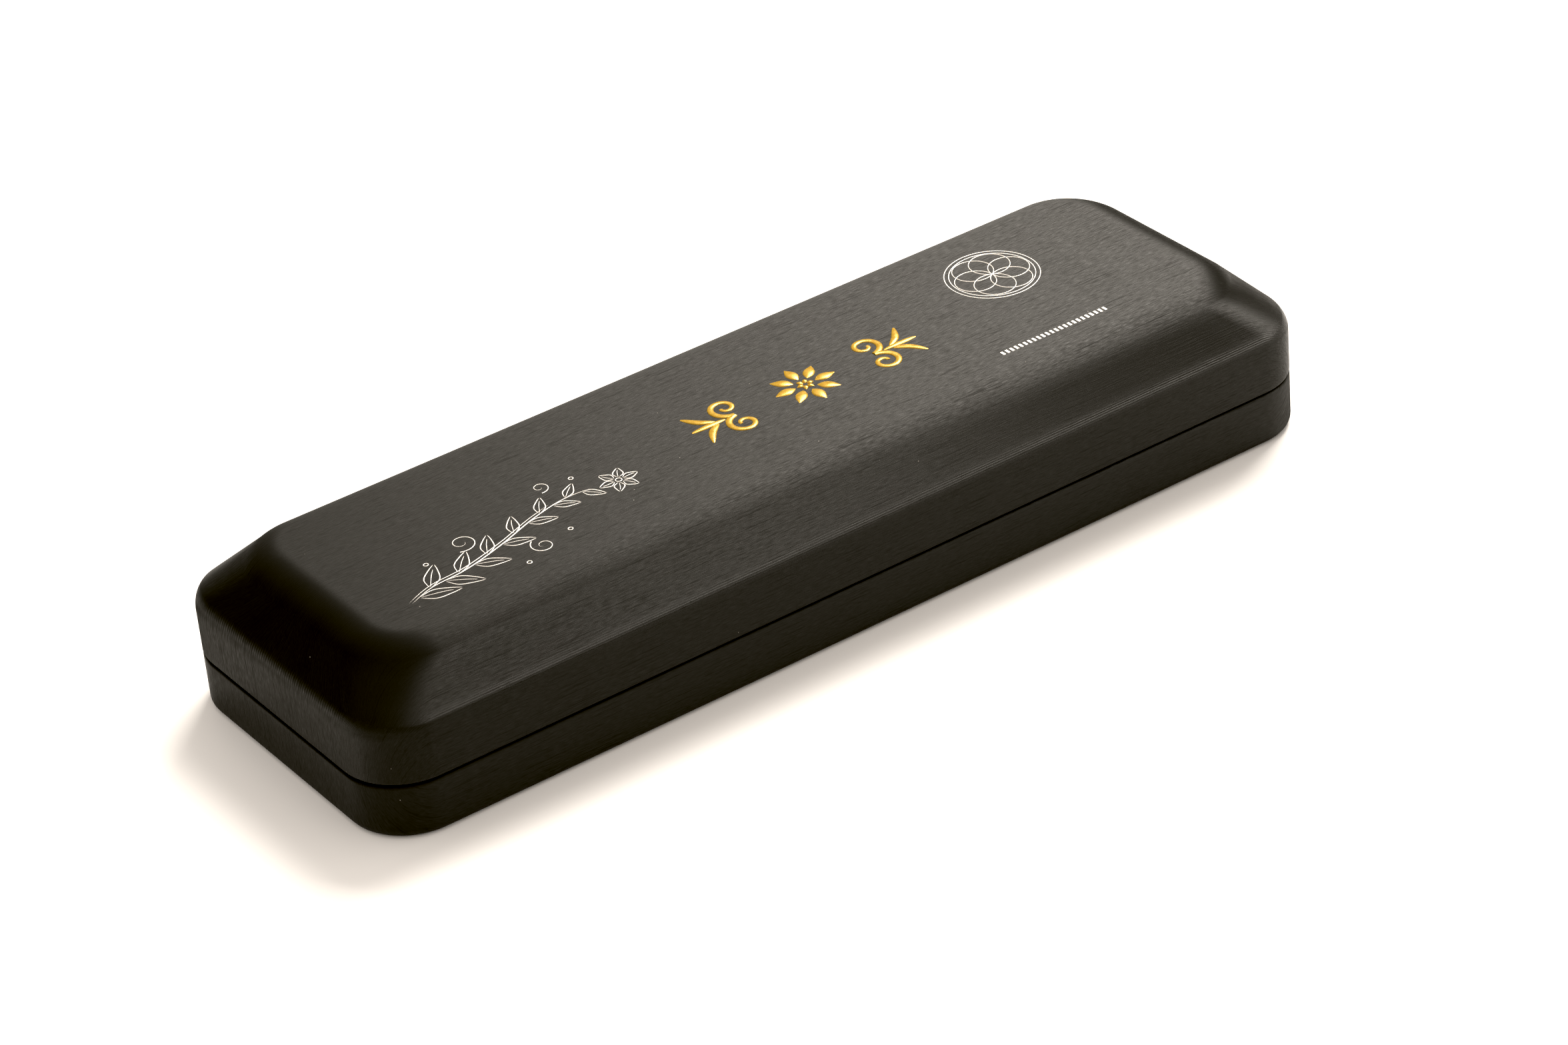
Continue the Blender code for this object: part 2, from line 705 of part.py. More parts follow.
def make_plate(name, numbers, side):
    """A reed plate with a slot and a rivet hole for each of its reeds."""
    outlines = [rounded_rectangle(COMB_LENGTH, COMB_FRONT + MOUTH_LIP, COMB_BACK, PLATE_RADIUS)]
    for number in numbers:
        x = hole_x(number)
        tip = COMB_FRONT + REED_TIP
        width = REED_WIDTH / 2 + FIT_GAP / 2
        slot_end = reed_back(number) - REED_PAD_LENGTH
        outlines.append(rectangle((x - width, tip - FIT_GAP), (x + width, slot_end)))
        rivet = (x, reed_back(number) - REED_PAD_LENGTH / 2)
        outlines.append(circle(rivet, RIVET_RADIUS + FIT_GAP, 8))
    outlines += bolt_holes() + screw_holes(PLATE_SCREW_RADIUS + FIT_GAP)
    middle = (0, 0, COMB_MIDDLE + side * (PLATE_FACE + PLATE / 2))
    return plate_of(name, outlines, PLATE, middle, material=PLATE_BRASS)


def make_reed(name, number, under, facing):
    """A reed and its rivet.

    under is the height of the reed's face against the plate, and facing is 1 where the reed
    lies above the plate and -1 where it lies below.
    """
    x = hole_x(number)
    back = reed_back(number)
    root = back - REED_PAD_LENGTH
    tip = COMB_FRONT + REED_TIP
    narrow, wide = REED_WIDTH / 2 - FIT_GAP / 2, REED_PAD_WIDTH / 2
    outline = [
        (x - narrow, tip),
        (x + narrow, tip),
        (x + narrow, root),
        (x + wide, root + REED_PAD_SHOULDER),
        (x + wide, back),
        (x - wide, back),
        (x - wide, root + REED_PAD_SHOULDER),
        (x - narrow, root),
    ]
    middle = (0, 0, under + facing * REED / 2)
    reed = as_mesh(plate_of(name, [outline], REED, middle), REED_BRASS)
    rivet_y = back - REED_PAD_LENGTH / 2
    tail = under - facing * (2 * FIT_GAP + PLATE + RIVET_HEAD)
    shank = cylinder(
        f"{name}_rivet",
        (x, rivet_y, tail),
        (x, rivet_y, under + facing * (REED + RIVET_HEAD / 2)),
        RIVET_RADIUS,
        8,
    )
    head = cylinder(
        f"{name}_rivet_head",
        (x, rivet_y, under + facing * REED / 2),
        (x, rivet_y, under + facing * (REED + RIVET_HEAD)),
        RIVET_HEAD_RADIUS,
        8,
    )
    fuse(reed, shank)
    fuse(reed, head)
    return reed


def make_reeds():
    """Blow reeds inside the chambers under the upper plate, draw reeds outside the lower plate."""
    reeds = []
    for number in range(1, HOLES + 1):
        if number % 2:
            under = COMB_MIDDLE + PLATE_FACE - FIT_GAP
            name = f"blow_reed_{(number + 1) // 2:02d}"
        else:
            under = COMB_MIDDLE - PLATE_BACK - FIT_GAP
            name = f"draw_reed_{number // 2:02d}"
        reeds.append(make_reed(name, number, under, -1))
    return reeds


def cover_height(x, y):
    """How high a cover stands over its foot: a quarter wave up from the front, a crown, a rear bend."""
    half = COMB_LENGTH / 2 - COVER_FLANGE
    along = min(1, max(0, (half - abs(x)) / COVER_SHOULDER))
    rise = math.sin(math.pi / 2 * along) ** 0.8
    across = (y - COVER_FRONT) / (COMB_BACK - COVER_FRONT)
    if across < COVER_CROWN:
        section = math.sin(math.pi / 2 * across / COVER_CROWN) ** 0.75
    else:
        fall = max(0, (across - COVER_TURN) / (1 - COVER_TURN))
        section = 1 - (1 - SOUND_OPENING / COVER_RISE) * fall**2
    return (COVER_RISE - COVER) * rise * section


def make_cover(name, side):
    """A pressed cover plate: a grid lifted into its arch, with flat tabs at both ends."""
    half = COMB_LENGTH / 2
    flange = half - COVER_FLANGE
    shoulder = [flange - COVER_SHOULDER * share for share in (0, 0.12, 0.35, 0.65, 1)]
    right = [half] + shoulder + [flange / 2]
    lines_x = sorted([-x for x in right] + [0] + right)
    shares = (0, 0.06, 0.15, 0.28, 0.45, 0.62, 0.80, 0.90, 1)
    lines_y = [mix(COVER_FRONT, COMB_BACK, share) for share in shares]
    body = bmesh.new()
    bmesh.ops.create_grid(
        body, x_segments=len(lines_x) - 1, y_segments=len(lines_y) - 1, size=1
    )
    for corner in body.verts:
        column = round((corner.co.x + 1) / 2 * (len(lines_x) - 1))
        row = round((corner.co.y + 1) / 2 * (len(lines_y) - 1))
        x, y = lines_x[column], lines_y[row]
        foot = COMB_MIDDLE + side * (COVER_FOOT + COVER)
        corner.co = (x, y, foot + side * cover_height(x, y))
    if side < 0:
        bmesh.ops.reverse_faces(body, faces=body.faces)
    cover = add_mesh(name, body, COVER_STEEL)
    thicken(cover, COVER)
    for end in (-1, 1):
        hole = cylinder(
            f"{name}_hole_{end}",
            (end * BOLT_X, 0, COMB_MIDDLE + side * (COVER_FOOT - OVERCUT)),
            (end * BOLT_X, 0, COMB_MIDDLE + side * (COVER_FOOT + COVER + OVERCUT)),
            BOLT_RADIUS + FIT_GAP,
            12,
            CUTTERS,
        )
        cut(cover, hole)
    return cover


def turned(name, profile, place, sides, material):
    """A solid of revolution about its own Z from a profile that starts and ends on the axis."""
    body = bmesh.new()
    knots = [body.verts.new((radius, 0, height)) for radius, height in profile]
    for first, second in zip(knots, knots[1:]):
        body.edges.new((first, second))
    part = add_mesh(name, body, material)
    screw = part.modifiers.new("turn", "SCREW")
    screw.steps = sides
    screw.render_steps = sides
    screw.use_merge_vertices = True
    screw.merge_threshold = 1e-6
    part.location = place
    return part


def make_bolts():
    """A bolt and a nut at each end clamp covers, plates and comb together."""
    made = []
    top = COVER_FOOT + COVER + FIT_GAP
    for side, name in ((-1, "left"), (1, "right")):
        tail = -top - NUT - BOLT_TAIL
        profile = [
            (0, top + BOLT_HEAD),
            (BOLT_HEAD_RADIUS * 0.6, top + BOLT_HEAD * 0.9),
            (BOLT_HEAD_RADIUS, top + BOLT_HEAD * 0.4),
            (BOLT_HEAD_RADIUS, top),
            (BOLT_RADIUS, top),
            (BOLT_RADIUS, tail),
            (0, tail),
        ]
        place = (side * BOLT_X, 0, COMB_MIDDLE)
        made.append(turned(f"cover_bolt_{name}", profile, place, 12, BOLT_STEEL))
        middle = (side * BOLT_X, 0, COMB_MIDDLE - top - NUT / 2)
        outlines = [circle((0, 0), NUT_RADIUS, 6), circle((0, 0), BOLT_RADIUS + FIT_GAP, 12)]
        made.append(
            plate_of(f"cover_nut_{name}", outlines, NUT, middle, material=BOLT_STEEL)
        )
    return made


def make_plate_screws():
    """Short screws along the back that hold each reed plate to the comb."""
    made = []
    seat = PLATE_BACK + FIT_GAP
    profile = [
        (0, seat + PLATE_SCREW_HEAD),
        (PLATE_SCREW_HEAD_RADIUS * 0.6, seat + PLATE_SCREW_HEAD),
        (PLATE_SCREW_HEAD_RADIUS, seat + PLATE_SCREW_HEAD / 3),
        (PLATE_SCREW_HEAD_RADIUS, seat),
        (PLATE_SCREW_RADIUS, seat),
        (PLATE_SCREW_RADIUS, PLATE_FACE - PLATE_SCREW_LENGTH),
        (0, PLATE_FACE - PLATE_SCREW_LENGTH),
    ]
    for label, side in (("upper", 1), ("lower", -1)):
        for count, x in enumerate(screw_places(), 1):
            name = f"{label}_plate_screw_{count}"
            screw = turned(name, profile, (x, SCREW_Y, COMB_MIDDLE), 8, BOLT_STEEL)
            if side < 0:
                screw.rotation_euler = (math.pi, 0, 0)
            made.append(screw)
    return made


# Put together


def carry(name, place, parts):
    """Parents parts to an empty on their joint's axis, without moving them."""
    empty = bpy.data.objects.new(name, None)
    empty.location = place
    empty.empty_display_size = 0.02
    PARTS.objects.link(empty)
    bpy.context.view_layer.update()
    for part in parts:
        part.parent = empty
        part.matrix_parent_inverse = empty.matrix_world.inverted()


def main():
    lid_covering, lid_shell, lid_lining = make_lid()
    base_covering, base_shell = make_base()
    tray = make_tray()
    lid_leaf = make_hinge()
    make_hinge_room((lid_covering, lid_shell, base_covering, base_shell), lid_lining, tray)
    harmonica = [make_comb()]
    harmonica.append(make_plate("upper_reed_plate", range(1, HOLES + 1, 2), 1))
    harmonica.append(make_plate("lower_reed_plate", range(2, HOLES + 1, 2), -1))
    harmonica += make_reeds()
    harmonica.append(make_cover("upper_cover_plate", 1))
    harmonica.append(make_cover("lower_cover_plate", -1))
    harmonica += make_bolts()
    harmonica += make_plate_screws()
    carry("lid_axis", (0, AXIS_Y, SEAM_HEIGHT), (lid_covering, lid_shell, lid_lining, lid_leaf))
    carry("harmonica_lift", (0, 0, COMB_MIDDLE), harmonica)


main()
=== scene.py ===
# %% [markdown]
# # A harmonica in its hard case
# The object is a black clamshell case, closed on a white table, with the harmonica inside it.
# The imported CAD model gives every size. This script gives the visible pieces their finer shape
# and their finish. What the CAD has right stays, with a better material.

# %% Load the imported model
import json
import math

import bmesh
import bpy
from mathutils import Matrix, Vector


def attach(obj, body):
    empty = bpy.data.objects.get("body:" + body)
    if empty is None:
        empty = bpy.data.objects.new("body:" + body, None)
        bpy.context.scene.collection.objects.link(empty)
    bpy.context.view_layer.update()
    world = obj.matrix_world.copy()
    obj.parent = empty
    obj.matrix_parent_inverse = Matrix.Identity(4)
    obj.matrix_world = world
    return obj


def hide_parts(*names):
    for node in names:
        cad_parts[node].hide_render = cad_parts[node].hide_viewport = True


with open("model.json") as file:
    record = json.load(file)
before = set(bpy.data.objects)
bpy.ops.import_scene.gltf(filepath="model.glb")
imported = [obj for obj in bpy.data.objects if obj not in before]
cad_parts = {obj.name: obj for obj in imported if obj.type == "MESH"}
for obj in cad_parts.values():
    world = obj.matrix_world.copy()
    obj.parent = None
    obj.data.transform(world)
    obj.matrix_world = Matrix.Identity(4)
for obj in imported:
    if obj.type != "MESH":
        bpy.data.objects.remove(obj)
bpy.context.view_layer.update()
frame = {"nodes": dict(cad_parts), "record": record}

# %% [markdown]
# ## The view
# The camera stands in front of the case's low end and looks down on it. Its numbers come from
# laying the case's outline over the picture, so they are given as they were found: a focal
# length in pixels of the 2352-pixel frame, two angles, a roll and a distance. Blender wants a
# lens in millimetres on a 36 mm sensor, which is the same number in another unit.

# %% The camera
FRAME_WIDTH = 2352
FOCAL_PIXELS = 7120.1
SENSOR = 36.0


def point_camera(azimuth, elevation, roll, distance, aim_height, off_x, off_y):
    """Place the scene's camera. off_x and off_y are where the aim point lies, in pixels."""
    azimuth, elevation, roll = (math.radians(angle) for angle in (azimuth, elevation, roll))
    level = math.cos(elevation)
    back = Vector((math.sin(azimuth) * level, -math.cos(azimuth) * level, math.sin(elevation)))
    right = (-back).cross(Vector((0, 0, 1))).normalized()
    up = right.cross(-back)
    right, up = (
        right * math.cos(roll) + up * math.sin(roll),
        up * math.cos(roll) - right * math.sin(roll),
    )
    look = (-back - right * off_x / FOCAL_PIXELS + up * off_y / FOCAL_PIXELS).normalized()
    right = (right - look * right.dot(look)).normalized()
    up = right.cross(look)
    camera = bpy.data.objects.new("camera", bpy.data.cameras.new("camera"))
    camera.data.sensor_fit = "HORIZONTAL"
    camera.data.sensor_width = SENSOR
    camera.data.lens = FOCAL_PIXELS / FRAME_WIDTH * SENSOR
    camera.data.clip_end = 20
    camera.matrix_world = Matrix.Translation(Vector((0, 0, aim_height)) + back * distance) @ (
        Matrix((right, up, -look)).transposed().to_4x4()
    )
    bpy.context.scene.collection.objects.link(camera)
    bpy.context.scene.camera = camera
    return camera


view = point_camera(-32.86, 31.27, -5.49, 0.8775, 0.015, -35.02, -59.34)
print("lens", round(view.data.lens, 2), "mm at", [round(x, 3) for x in view.location])

# %% [markdown]
# ## Building materials from nodes
# Small helpers keep the material cells readable. One starts a Principled material with its
# constant values set on the shader's own sockets, and one adds a node and links its inputs. The
# rest make the few things every finish needs: noise, a new range, a mix of colours and a bump.

# %% Material helpers
MILLIMETRE = 0.001  # in metres


def start_finish(name, colour, roughness, metallic=0.0, **sockets):
    """A Principled material, its node tree and its shader."""
    material = bpy.data.materials.new(name)
    material.use_nodes = True
    shader = material.node_tree.nodes["Principled BSDF"]
    shader.inputs["Base Color"].default_value = (*colour, 1)
    shader.inputs["Roughness"].default_value = roughness
    shader.inputs["Metallic"].default_value = metallic
    for socket, value in sockets.items():
        shader.inputs[socket.replace("_", " ")].default_value = value
    return material, material.node_tree, shader


def add_node(tree, kind, inputs=(), **settings):
    """A node whose inputs are numbers or other nodes' outputs, given as (socket, value)."""
    made = tree.nodes.new("ShaderNode" + kind)
    for name, value in settings.items():
        setattr(made, name, value)
    for socket, value in inputs:
        if isinstance(value, bpy.types.NodeSocket):
            tree.links.new(value, made.inputs[socket])
        else:
            made.inputs[socket].default_value = value
    return made


def noise_at(tree, where, scale, detail=2.0, roughness=0.5):
    """Noise stretched by a scale for each axis."""
    placed = add_node(tree, "Mapping", [("Vector", where), ("Scale", scale)])
    grain = add_node(
        tree, "TexNoise",
        [("Vector", placed.outputs[0]), ("Scale", 1.0), ("Detail", detail), ("Roughness", roughness)],
    )
    return grain.outputs["Fac"]


def remap(tree, value, low, high, to_low, to_high):
    """Value from one range to another, kept inside it."""
    node = add_node(
        tree, "MapRange",
        [("Value", value), ("From Min", low), ("From Max", high), ("To Min", to_low), ("To Max", to_high)],
    )
    return node.outputs[0]


def blend_colours(tree, share, first, second):
    """Mix two colours, each a tuple or a socket."""
    node = add_node(tree, "Mix", data_type="RGBA")
    tree.links.new(share, node.inputs[0])
    for socket, colour in ((6, first), (7, second)):
        if isinstance(colour, bpy.types.NodeSocket):
            tree.links.new(colour, node.inputs[socket])
        else:
            node.inputs[socket].default_value = (*colour, 1)
    return node.outputs[2]


def raise_surface(tree, shader, height, distance, strength=1.0):
    """Bump from a height value, in metres."""
    bump = add_node(
        tree, "Bump", [("Height", height), ("Distance", distance), ("Strength", strength)]
    )
    tree.links.new(bump.outputs[0], shader.inputs["Normal"])


# %% [markdown]
# ## The brushed film
# The case is wrapped in a black plastic film with an embossed brushed grain. The grain runs along
# the case, and because the film is one sheet drawn down over the lid, it runs on down the two
# ends. So the pattern can't follow the object's own axes. Each skin carries a UV map named film
# that holds the flat sheet's own coordinates in millimetres: u across the grain, v along it.
# Long noise cells make the grain, a coarser one the dark hairlines, and the tangent of the same
# map stretches the highlights across the grain. Where the film is pulled round the shoulder, its
# grain shows as a few fine ribs, and here and there a speck of dust lies on it.

# %% Brushed film


HAIR_GRAIN = (4.4, 0.075, 1)  # cycles in a millimetre, across and along the grain
FINE_GRAIN = (6.5, 0.55, 1)
CLOUDS = (0.12, 0.03, 1)
RIB_PITCH = 0.42  # millimetres between the fine ribs where the film turns over the shoulder
RIB_BAND = ((0.0212, 0.0220), (0.0228, 0.0236))
DUST_PITCH, DUST_SIZE, DUST_SHARE = 3.2, 0.035, 0.86


def make_ribs(tree, sheet):
    """Fine ribs along the grain, only where the film turns over the shoulder."""
    across = add_node(tree, "SeparateXYZ", [(0, sheet)]).outputs["X"]
    place = add_node(tree, "TexCoord").outputs["Object"]
    height = add_node(tree, "SeparateXYZ", [(0, place)]).outputs["Z"]
    (low, full), (ebb, high) = RIB_BAND
    turn = add_node(tree, "Math", [(0, across), (1, math.tau / RIB_PITCH)], operation="MULTIPLY")
    wave = add_node(tree, "Math", [(0, turn.outputs[0])], operation="SINE")
    rise = remap(tree, height, low, full, 0, 1)
    fall = remap(tree, height, ebb, high, 1, 0)
    band = add_node(tree, "Math", [(0, rise), (1, fall)], operation="MULTIPLY").outputs[0]
    crest = remap(tree, wave.outputs[0], -1, 1, 0, 1)
    return band, add_node(tree, "Math", [(0, band), (1, crest)], operation="MULTIPLY").outputs[0]


def make_dust(tree, sheet):
    """Sparse specks of dust, each a small disc in one cell out of several."""
    cells = add_node(tree, "TexVoronoi")
    cells.inputs["Scale"].default_value = 1 / DUST_PITCH
    tree.links.new(sheet, cells.inputs["Vector"])
    disc = remap(tree, cells.outputs["Distance"], DUST_SIZE * 0.6, DUST_SIZE, 1, 0)
    pick = add_node(tree, "SeparateXYZ", [(0, cells.outputs["Color"])]).outputs["X"]
    chosen = add_node(tree, "Math", [(0, pick), (1, DUST_SHARE)], operation="GREATER_THAN")
    return add_node(
        tree, "Math", [(0, disc), (1, chosen.outputs[0])], operation="MULTIPLY"
    ).outputs[0]


def make_brushed_film():
    material, tree, shader = start_finish(
        "black_film", (0.004, 0.0038, 0.0034), 0.6, Anisotropic=0.88, Specular_IOR_Level=0.24
    )
    sheet = add_node(tree, "UVMap", uv_map="film").outputs[0]
    hair = noise_at(tree, sheet, HAIR_GRAIN, 3, 0.6)
    fine = noise_at(tree, sheet, FINE_GRAIN, 2)
    broad = noise_at(tree, sheet, CLOUDS, 2)
    gaps = remap(tree, hair, 0.28, 0.43, 1, 0)
    band, ribs = make_ribs(tree, sheet)
    colour = blend_colours(tree, gaps, (0.0045, 0.0042, 0.0036), (0.002, 0.002, 0.0018))
    cloudy = remap(tree, broad, 0.3, 0.7, 0, 0.25)
    colour = blend_colours(tree, cloudy, colour, (0.008, 0.0075, 0.0065))
    colour = blend_colours(tree, make_dust(tree, sheet), colour, (0.30, 0.28, 0.25))
    tree.links.new(colour, shader.inputs["Base Color"])
    roughness = remap(tree, fine, 0.25, 0.75, 0.72, 0.44)
    for share, change in ((gaps, 0.34), (band, -0.06), (ribs, -0.16)):
        roughness = add_node(
            tree, "Math", [(0, share), (1, change), (2, roughness)], operation="MULTIPLY_ADD"
        ).outputs[0]
    tree.links.new(roughness, shader.inputs["Roughness"])
    height = add_node(
        tree, "Math", [(0, fine), (1, remap(tree, hair, 0.3, 0.7, 0, 1))], operation="ADD"
    ).outputs[0]
    height = add_node(tree, "Math", [(0, ribs), (1, 1.6), (2, height)], operation="MULTIPLY_ADD")
    raise_surface(tree, shader, height.outputs[0], 0.00003, 0.5)
    tangent = add_node(tree, "Tangent", direction_type="UV_MAP", uv_map="film")
    tree.links.new(tangent.outputs[0], shader.inputs["Tangent"])
    return material


brushed_film = make_brushed_film()
print("material", brushed_film.name)

# %% [markdown]
# ## Printed decoration
# The lid carries a raised gold print, domed and glossy like thick ink, and fine silver lines of
# foil. Both are thin bodies that stand on the film, so light catches their edges.

# %% Print finishes


def make_gold_ink():
    material, tree, shader = start_finish("gold_ink", (0.55, 0.33, 0.04), 0.3, 0.35)
    place = add_node(tree, "TexCoord").outputs["Object"]
    cloud = noise_at(tree, place, (900, 900, 900), 3)
    tree.links.new(
        blend_colours(tree, cloud, (0.46, 0.26, 0.025), (0.64, 0.40, 0.06)),
        shader.inputs["Base Color"],
    )
    tree.links.new(remap(tree, cloud, 0.3, 0.7, 0.22, 0.36), shader.inputs["Roughness"])
    return material


def make_silver_foil():
    material, tree, shader = start_finish("silver_foil", (0.80, 0.77, 0.72), 0.45, 0.3)
    place = add_node(tree, "TexCoord").outputs["Object"]
    speckle = noise_at(tree, place, (4000, 4000, 4000), 2)
    tree.links.new(
        blend_colours(tree, speckle, (0.62, 0.58, 0.52), (0.95, 0.92, 0.88)),
        shader.inputs["Base Color"],
    )
    return material


gold_ink = make_gold_ink()
silver_foil = make_silver_foil()
print("materials", gold_ink.name, "and", silver_foil.name)

# %% [markdown]
# ## Flock, steel, brass, plastic
# Inside, the tray and the lid's lining are formed sheets covered with short black fibres. The
# metal parts differ in how they were made, so each has its own grain: rolled and brushed for the
# plates, pressed and polished for the covers, drawn for the hinge.

# %% Inner finishes


def make_flock():
    material, tree, shader = start_finish(
        "flock", (0.012, 0.012, 0.014), 0.95, Sheen_Weight=0.35, Sheen_Roughness=0.5
    )
    shader.inputs["Sheen Tint"].default_value = (0.5, 0.5, 0.55, 1)
    place = add_node(tree, "TexCoord").outputs["Object"]
    fibres = noise_at(tree, place, (3000, 3000, 3000), 2, 0.7)
    naps = noise_at(tree, place, (220, 220, 220), 2)
    colour = blend_colours(tree, fibres, (0.004, 0.004, 0.005), (0.026, 0.026, 0.030))
    tree.links.new(
        blend_colours(tree, remap(tree, naps, 0.35, 0.65, 0, 0.5), colour, (0.022, 0.022, 0.026)),
        shader.inputs["Base Color"],
    )
    raise_surface(tree, shader, fibres, 0.00025, 0.8)
    return material


def make_metal(name, dark, light, roughness, grain, height=0.00001):
    """A metal whose grain is stretched noise: grain is the noise scale on each axis."""
    material, tree, shader = start_finish(name, light, roughness, 1.0)
    place = add_node(tree, "TexCoord").outputs["Object"]
    lines = noise_at(tree, place, grain, 3, 0.6)
    tree.links.new(blend_colours(tree, lines, dark, light), shader.inputs["Base Color"])
    tree.links.new(
        remap(tree, lines, 0.25, 0.75, roughness * 0.75, roughness * 1.3), shader.inputs["Roughness"]
    )
    raise_surface(tree, shader, lines, height, 0.4)
    return material


def make_comb_plastic():
    material, tree, shader = start_finish("comb_plastic", (0.012, 0.012, 0.013), 0.32)
    place = add_node(tree, "TexCoord").outputs["Object"]
    skin = noise_at(tree, place, (2500, 2500, 2500), 2)
    tree.links.new(remap(tree, skin, 0.3, 0.7, 0.26, 0.40), shader.inputs["Roughness"])
    raise_surface(tree, shader, skin, 0.000015, 0.5)
    return material


flock = make_flock()
comb_plastic = make_comb_plastic()
case_steel = make_metal("case_steel", (0.36, 0.37, 0.38), (0.50, 0.51, 0.52), 0.40, (60, 1500, 1500))
hinge_steel = make_metal("hinge_steel", (0.55, 0.55, 0.53), (0.70, 0.70, 0.68), 0.28, (80, 2500, 2500))
spring_steel = make_metal("spring_steel", (0.30, 0.33, 0.40), (0.44, 0.47, 0.53), 0.24, (900, 300, 300))
plate_brass = make_metal("plate_brass", (0.58, 0.41, 0.16), (0.74, 0.56, 0.26), 0.36, (90, 3000, 3000))
reed_brass = make_metal("reed_brass", (0.66, 0.46, 0.17), (0.84, 0.63, 0.28), 0.24, (3000, 120, 3000))
cover_steel = make_metal("cover_steel", (0.76, 0.76, 0.77), (0.86, 0.86, 0.87), 0.10, (40, 900, 900))
bolt_steel = make_metal("bolt_steel", (0.60, 0.60, 0.61), (0.76, 0.76, 0.77), 0.22, (1500, 1500, 300))
print("inner materials made")

# %% [markdown]
# ## The case's shape
# The lid is a rounded rectangle whose walls stand upright, turn over a shoulder into a slope and
# run through a crease into a flat top. Every layer of the case follows the same rule at its own
# depth, so one family of functions makes them all: a section at the ends, a section along the
# sides, and a corner that passes from one to the other. The same functions are in the part's own
# source. Here they have more steps, so that the outline stays round up close.

# %% The case's rule
CASE_LENGTH, CASE_WIDTH, CASE_HEIGHT = 0.2100, 0.0700, 0.0322
SEAM_HEIGHT, SEAM_GAP = 0.0111, 0.0004
SHOULDER_HEIGHT = 0.0219
END_INSET, SIDE_INSET = 0.0095, 0.0097
PLAN_RADIUS, TOP_RADIUS = 0.0121, 0.0107
FILM = 0.0004
HEM_DEPTH = 0.0019
HEM_LENGTH = 0.0045
CORNER_STEPS, LONG_STEPS, SHORT_STEPS = 20, 30, 10


def mix(first, second, share):
    return first + (second - first) * share


def rounded_corner(before, corner, after, radius, steps):
    """The arc that rounds the corner between two straight runs."""
    corner = Vector(corner)
    back = (Vector(before) - corner).normalized()
    ahead = (Vector(after) - corner).normalized()
    half = back.angle(ahead) / 2
    centre = corner + (back + ahead).normalized() * (radius / math.sin(half))
    spoke = corner + back * (radius / math.tan(half)) - centre
    sweep = math.copysign(math.pi - 2 * half, ahead.cross(back))
    return [centre + Matrix.Rotation(sweep * k / steps, 2) @ spoke for k in range(steps + 1)]


def outline(half, radii):
    """Points round a rectangle with elliptical corners: (x, y, share of side, outward)."""
    points = []
    inner = (half[0] - radii[0], half[1] - radii[1])
    for quarter in range(4):
        sign_x = 1 if quarter in (0, 3) else -1
        sign_y = 1 if quarter < 2 else -1
        for step in range(CORNER_STEPS + 1):
            angle = math.pi / 2 * (quarter + step / CORNER_STEPS)
            out = (math.cos(angle), math.sin(angle))
            x = sign_x * inner[0] + radii[0] * out[0]
            y = sign_y * inner[1] + radii[1] * out[1]
            points.append((x, y, out[1] ** 2, out))
        along_x = quarter in (0, 2)
        steps = LONG_STEPS if along_x else SHORT_STEPS
        for step in range(1, steps):
            travel = 1 - 2 * step / steps
            if along_x:
                points.append((sign_y * inner[0] * travel, sign_y * half[1], 1, (0, sign_y)))
            else:
                points.append((sign_x * half[0], -sign_x * inner[1] * travel, 0, (sign_x, 0)))
    return points


def case_ring(end, side, lean):
    """One level of the case. end and side are (inset, height); lean is 1 on the flat top."""
    centre_x = mix(PLAN_RADIUS, END_INSET + TOP_RADIUS, lean)
    centre_y = mix(PLAN_RADIUS, SIDE_INSET + TOP_RADIUS, lean)
    half = (CASE_LENGTH / 2 - end[0], CASE_WIDTH / 2 - side[0])
    radii = (centre_x - end[0], centre_y - side[0])
    return [
        (x, y, mix(end[1], side[1], share), share, out)
        for x, y, share, out in outline(half, radii)
    ]


def lid_slope(inset, shoulder_radius, crease_radius, steps):
    """The rounded shoulder and the rounded crease of one slope of the lid."""
    shoulder, crease = (0, SHOULDER_HEIGHT), (inset, CASE_HEIGHT)
    return (
        rounded_corner((0, 0), shoulder, crease, shoulder_radius, steps),
        rounded_corner(shoulder, crease, (CASE_LENGTH, CASE_HEIGHT), crease_radius, steps),
    )


def hem_path(rim, upward, outer_radius):
    """The film's path from inside the wall, over the rim and onto the outside."""
    start = (HEM_DEPTH, rim + upward * HEM_LENGTH)
    inner, outer, wall = (HEM_DEPTH, rim), (0, rim), (0, rim + upward)
    return (
        [Vector(start)]
        + rounded_corner(start, inner, outer, 0.0005, 4)
        + rounded_corner(inner, outer, wall, outer_radius, 5)
    )


print("flat top", [round(1000 * (size - 2 * inset), 1) for size, inset in (
    (CASE_LENGTH, END_INSET), (CASE_WIDTH, SIDE_INSET))], "mm")

# %% [markdown]
# ## Lofting a skin with its film coordinates
# A skin is a row of rings joined by quads, closed by one flat face. While the rings go in, the
# distance along the surface from the flat face outwards is added up for the ends and for the
# sides. A point's place on the flat sheet is its place on the flat face's edge, moved outwards by
# that distance. That is how the grain gets down the ends without a seam.

# %% Skins


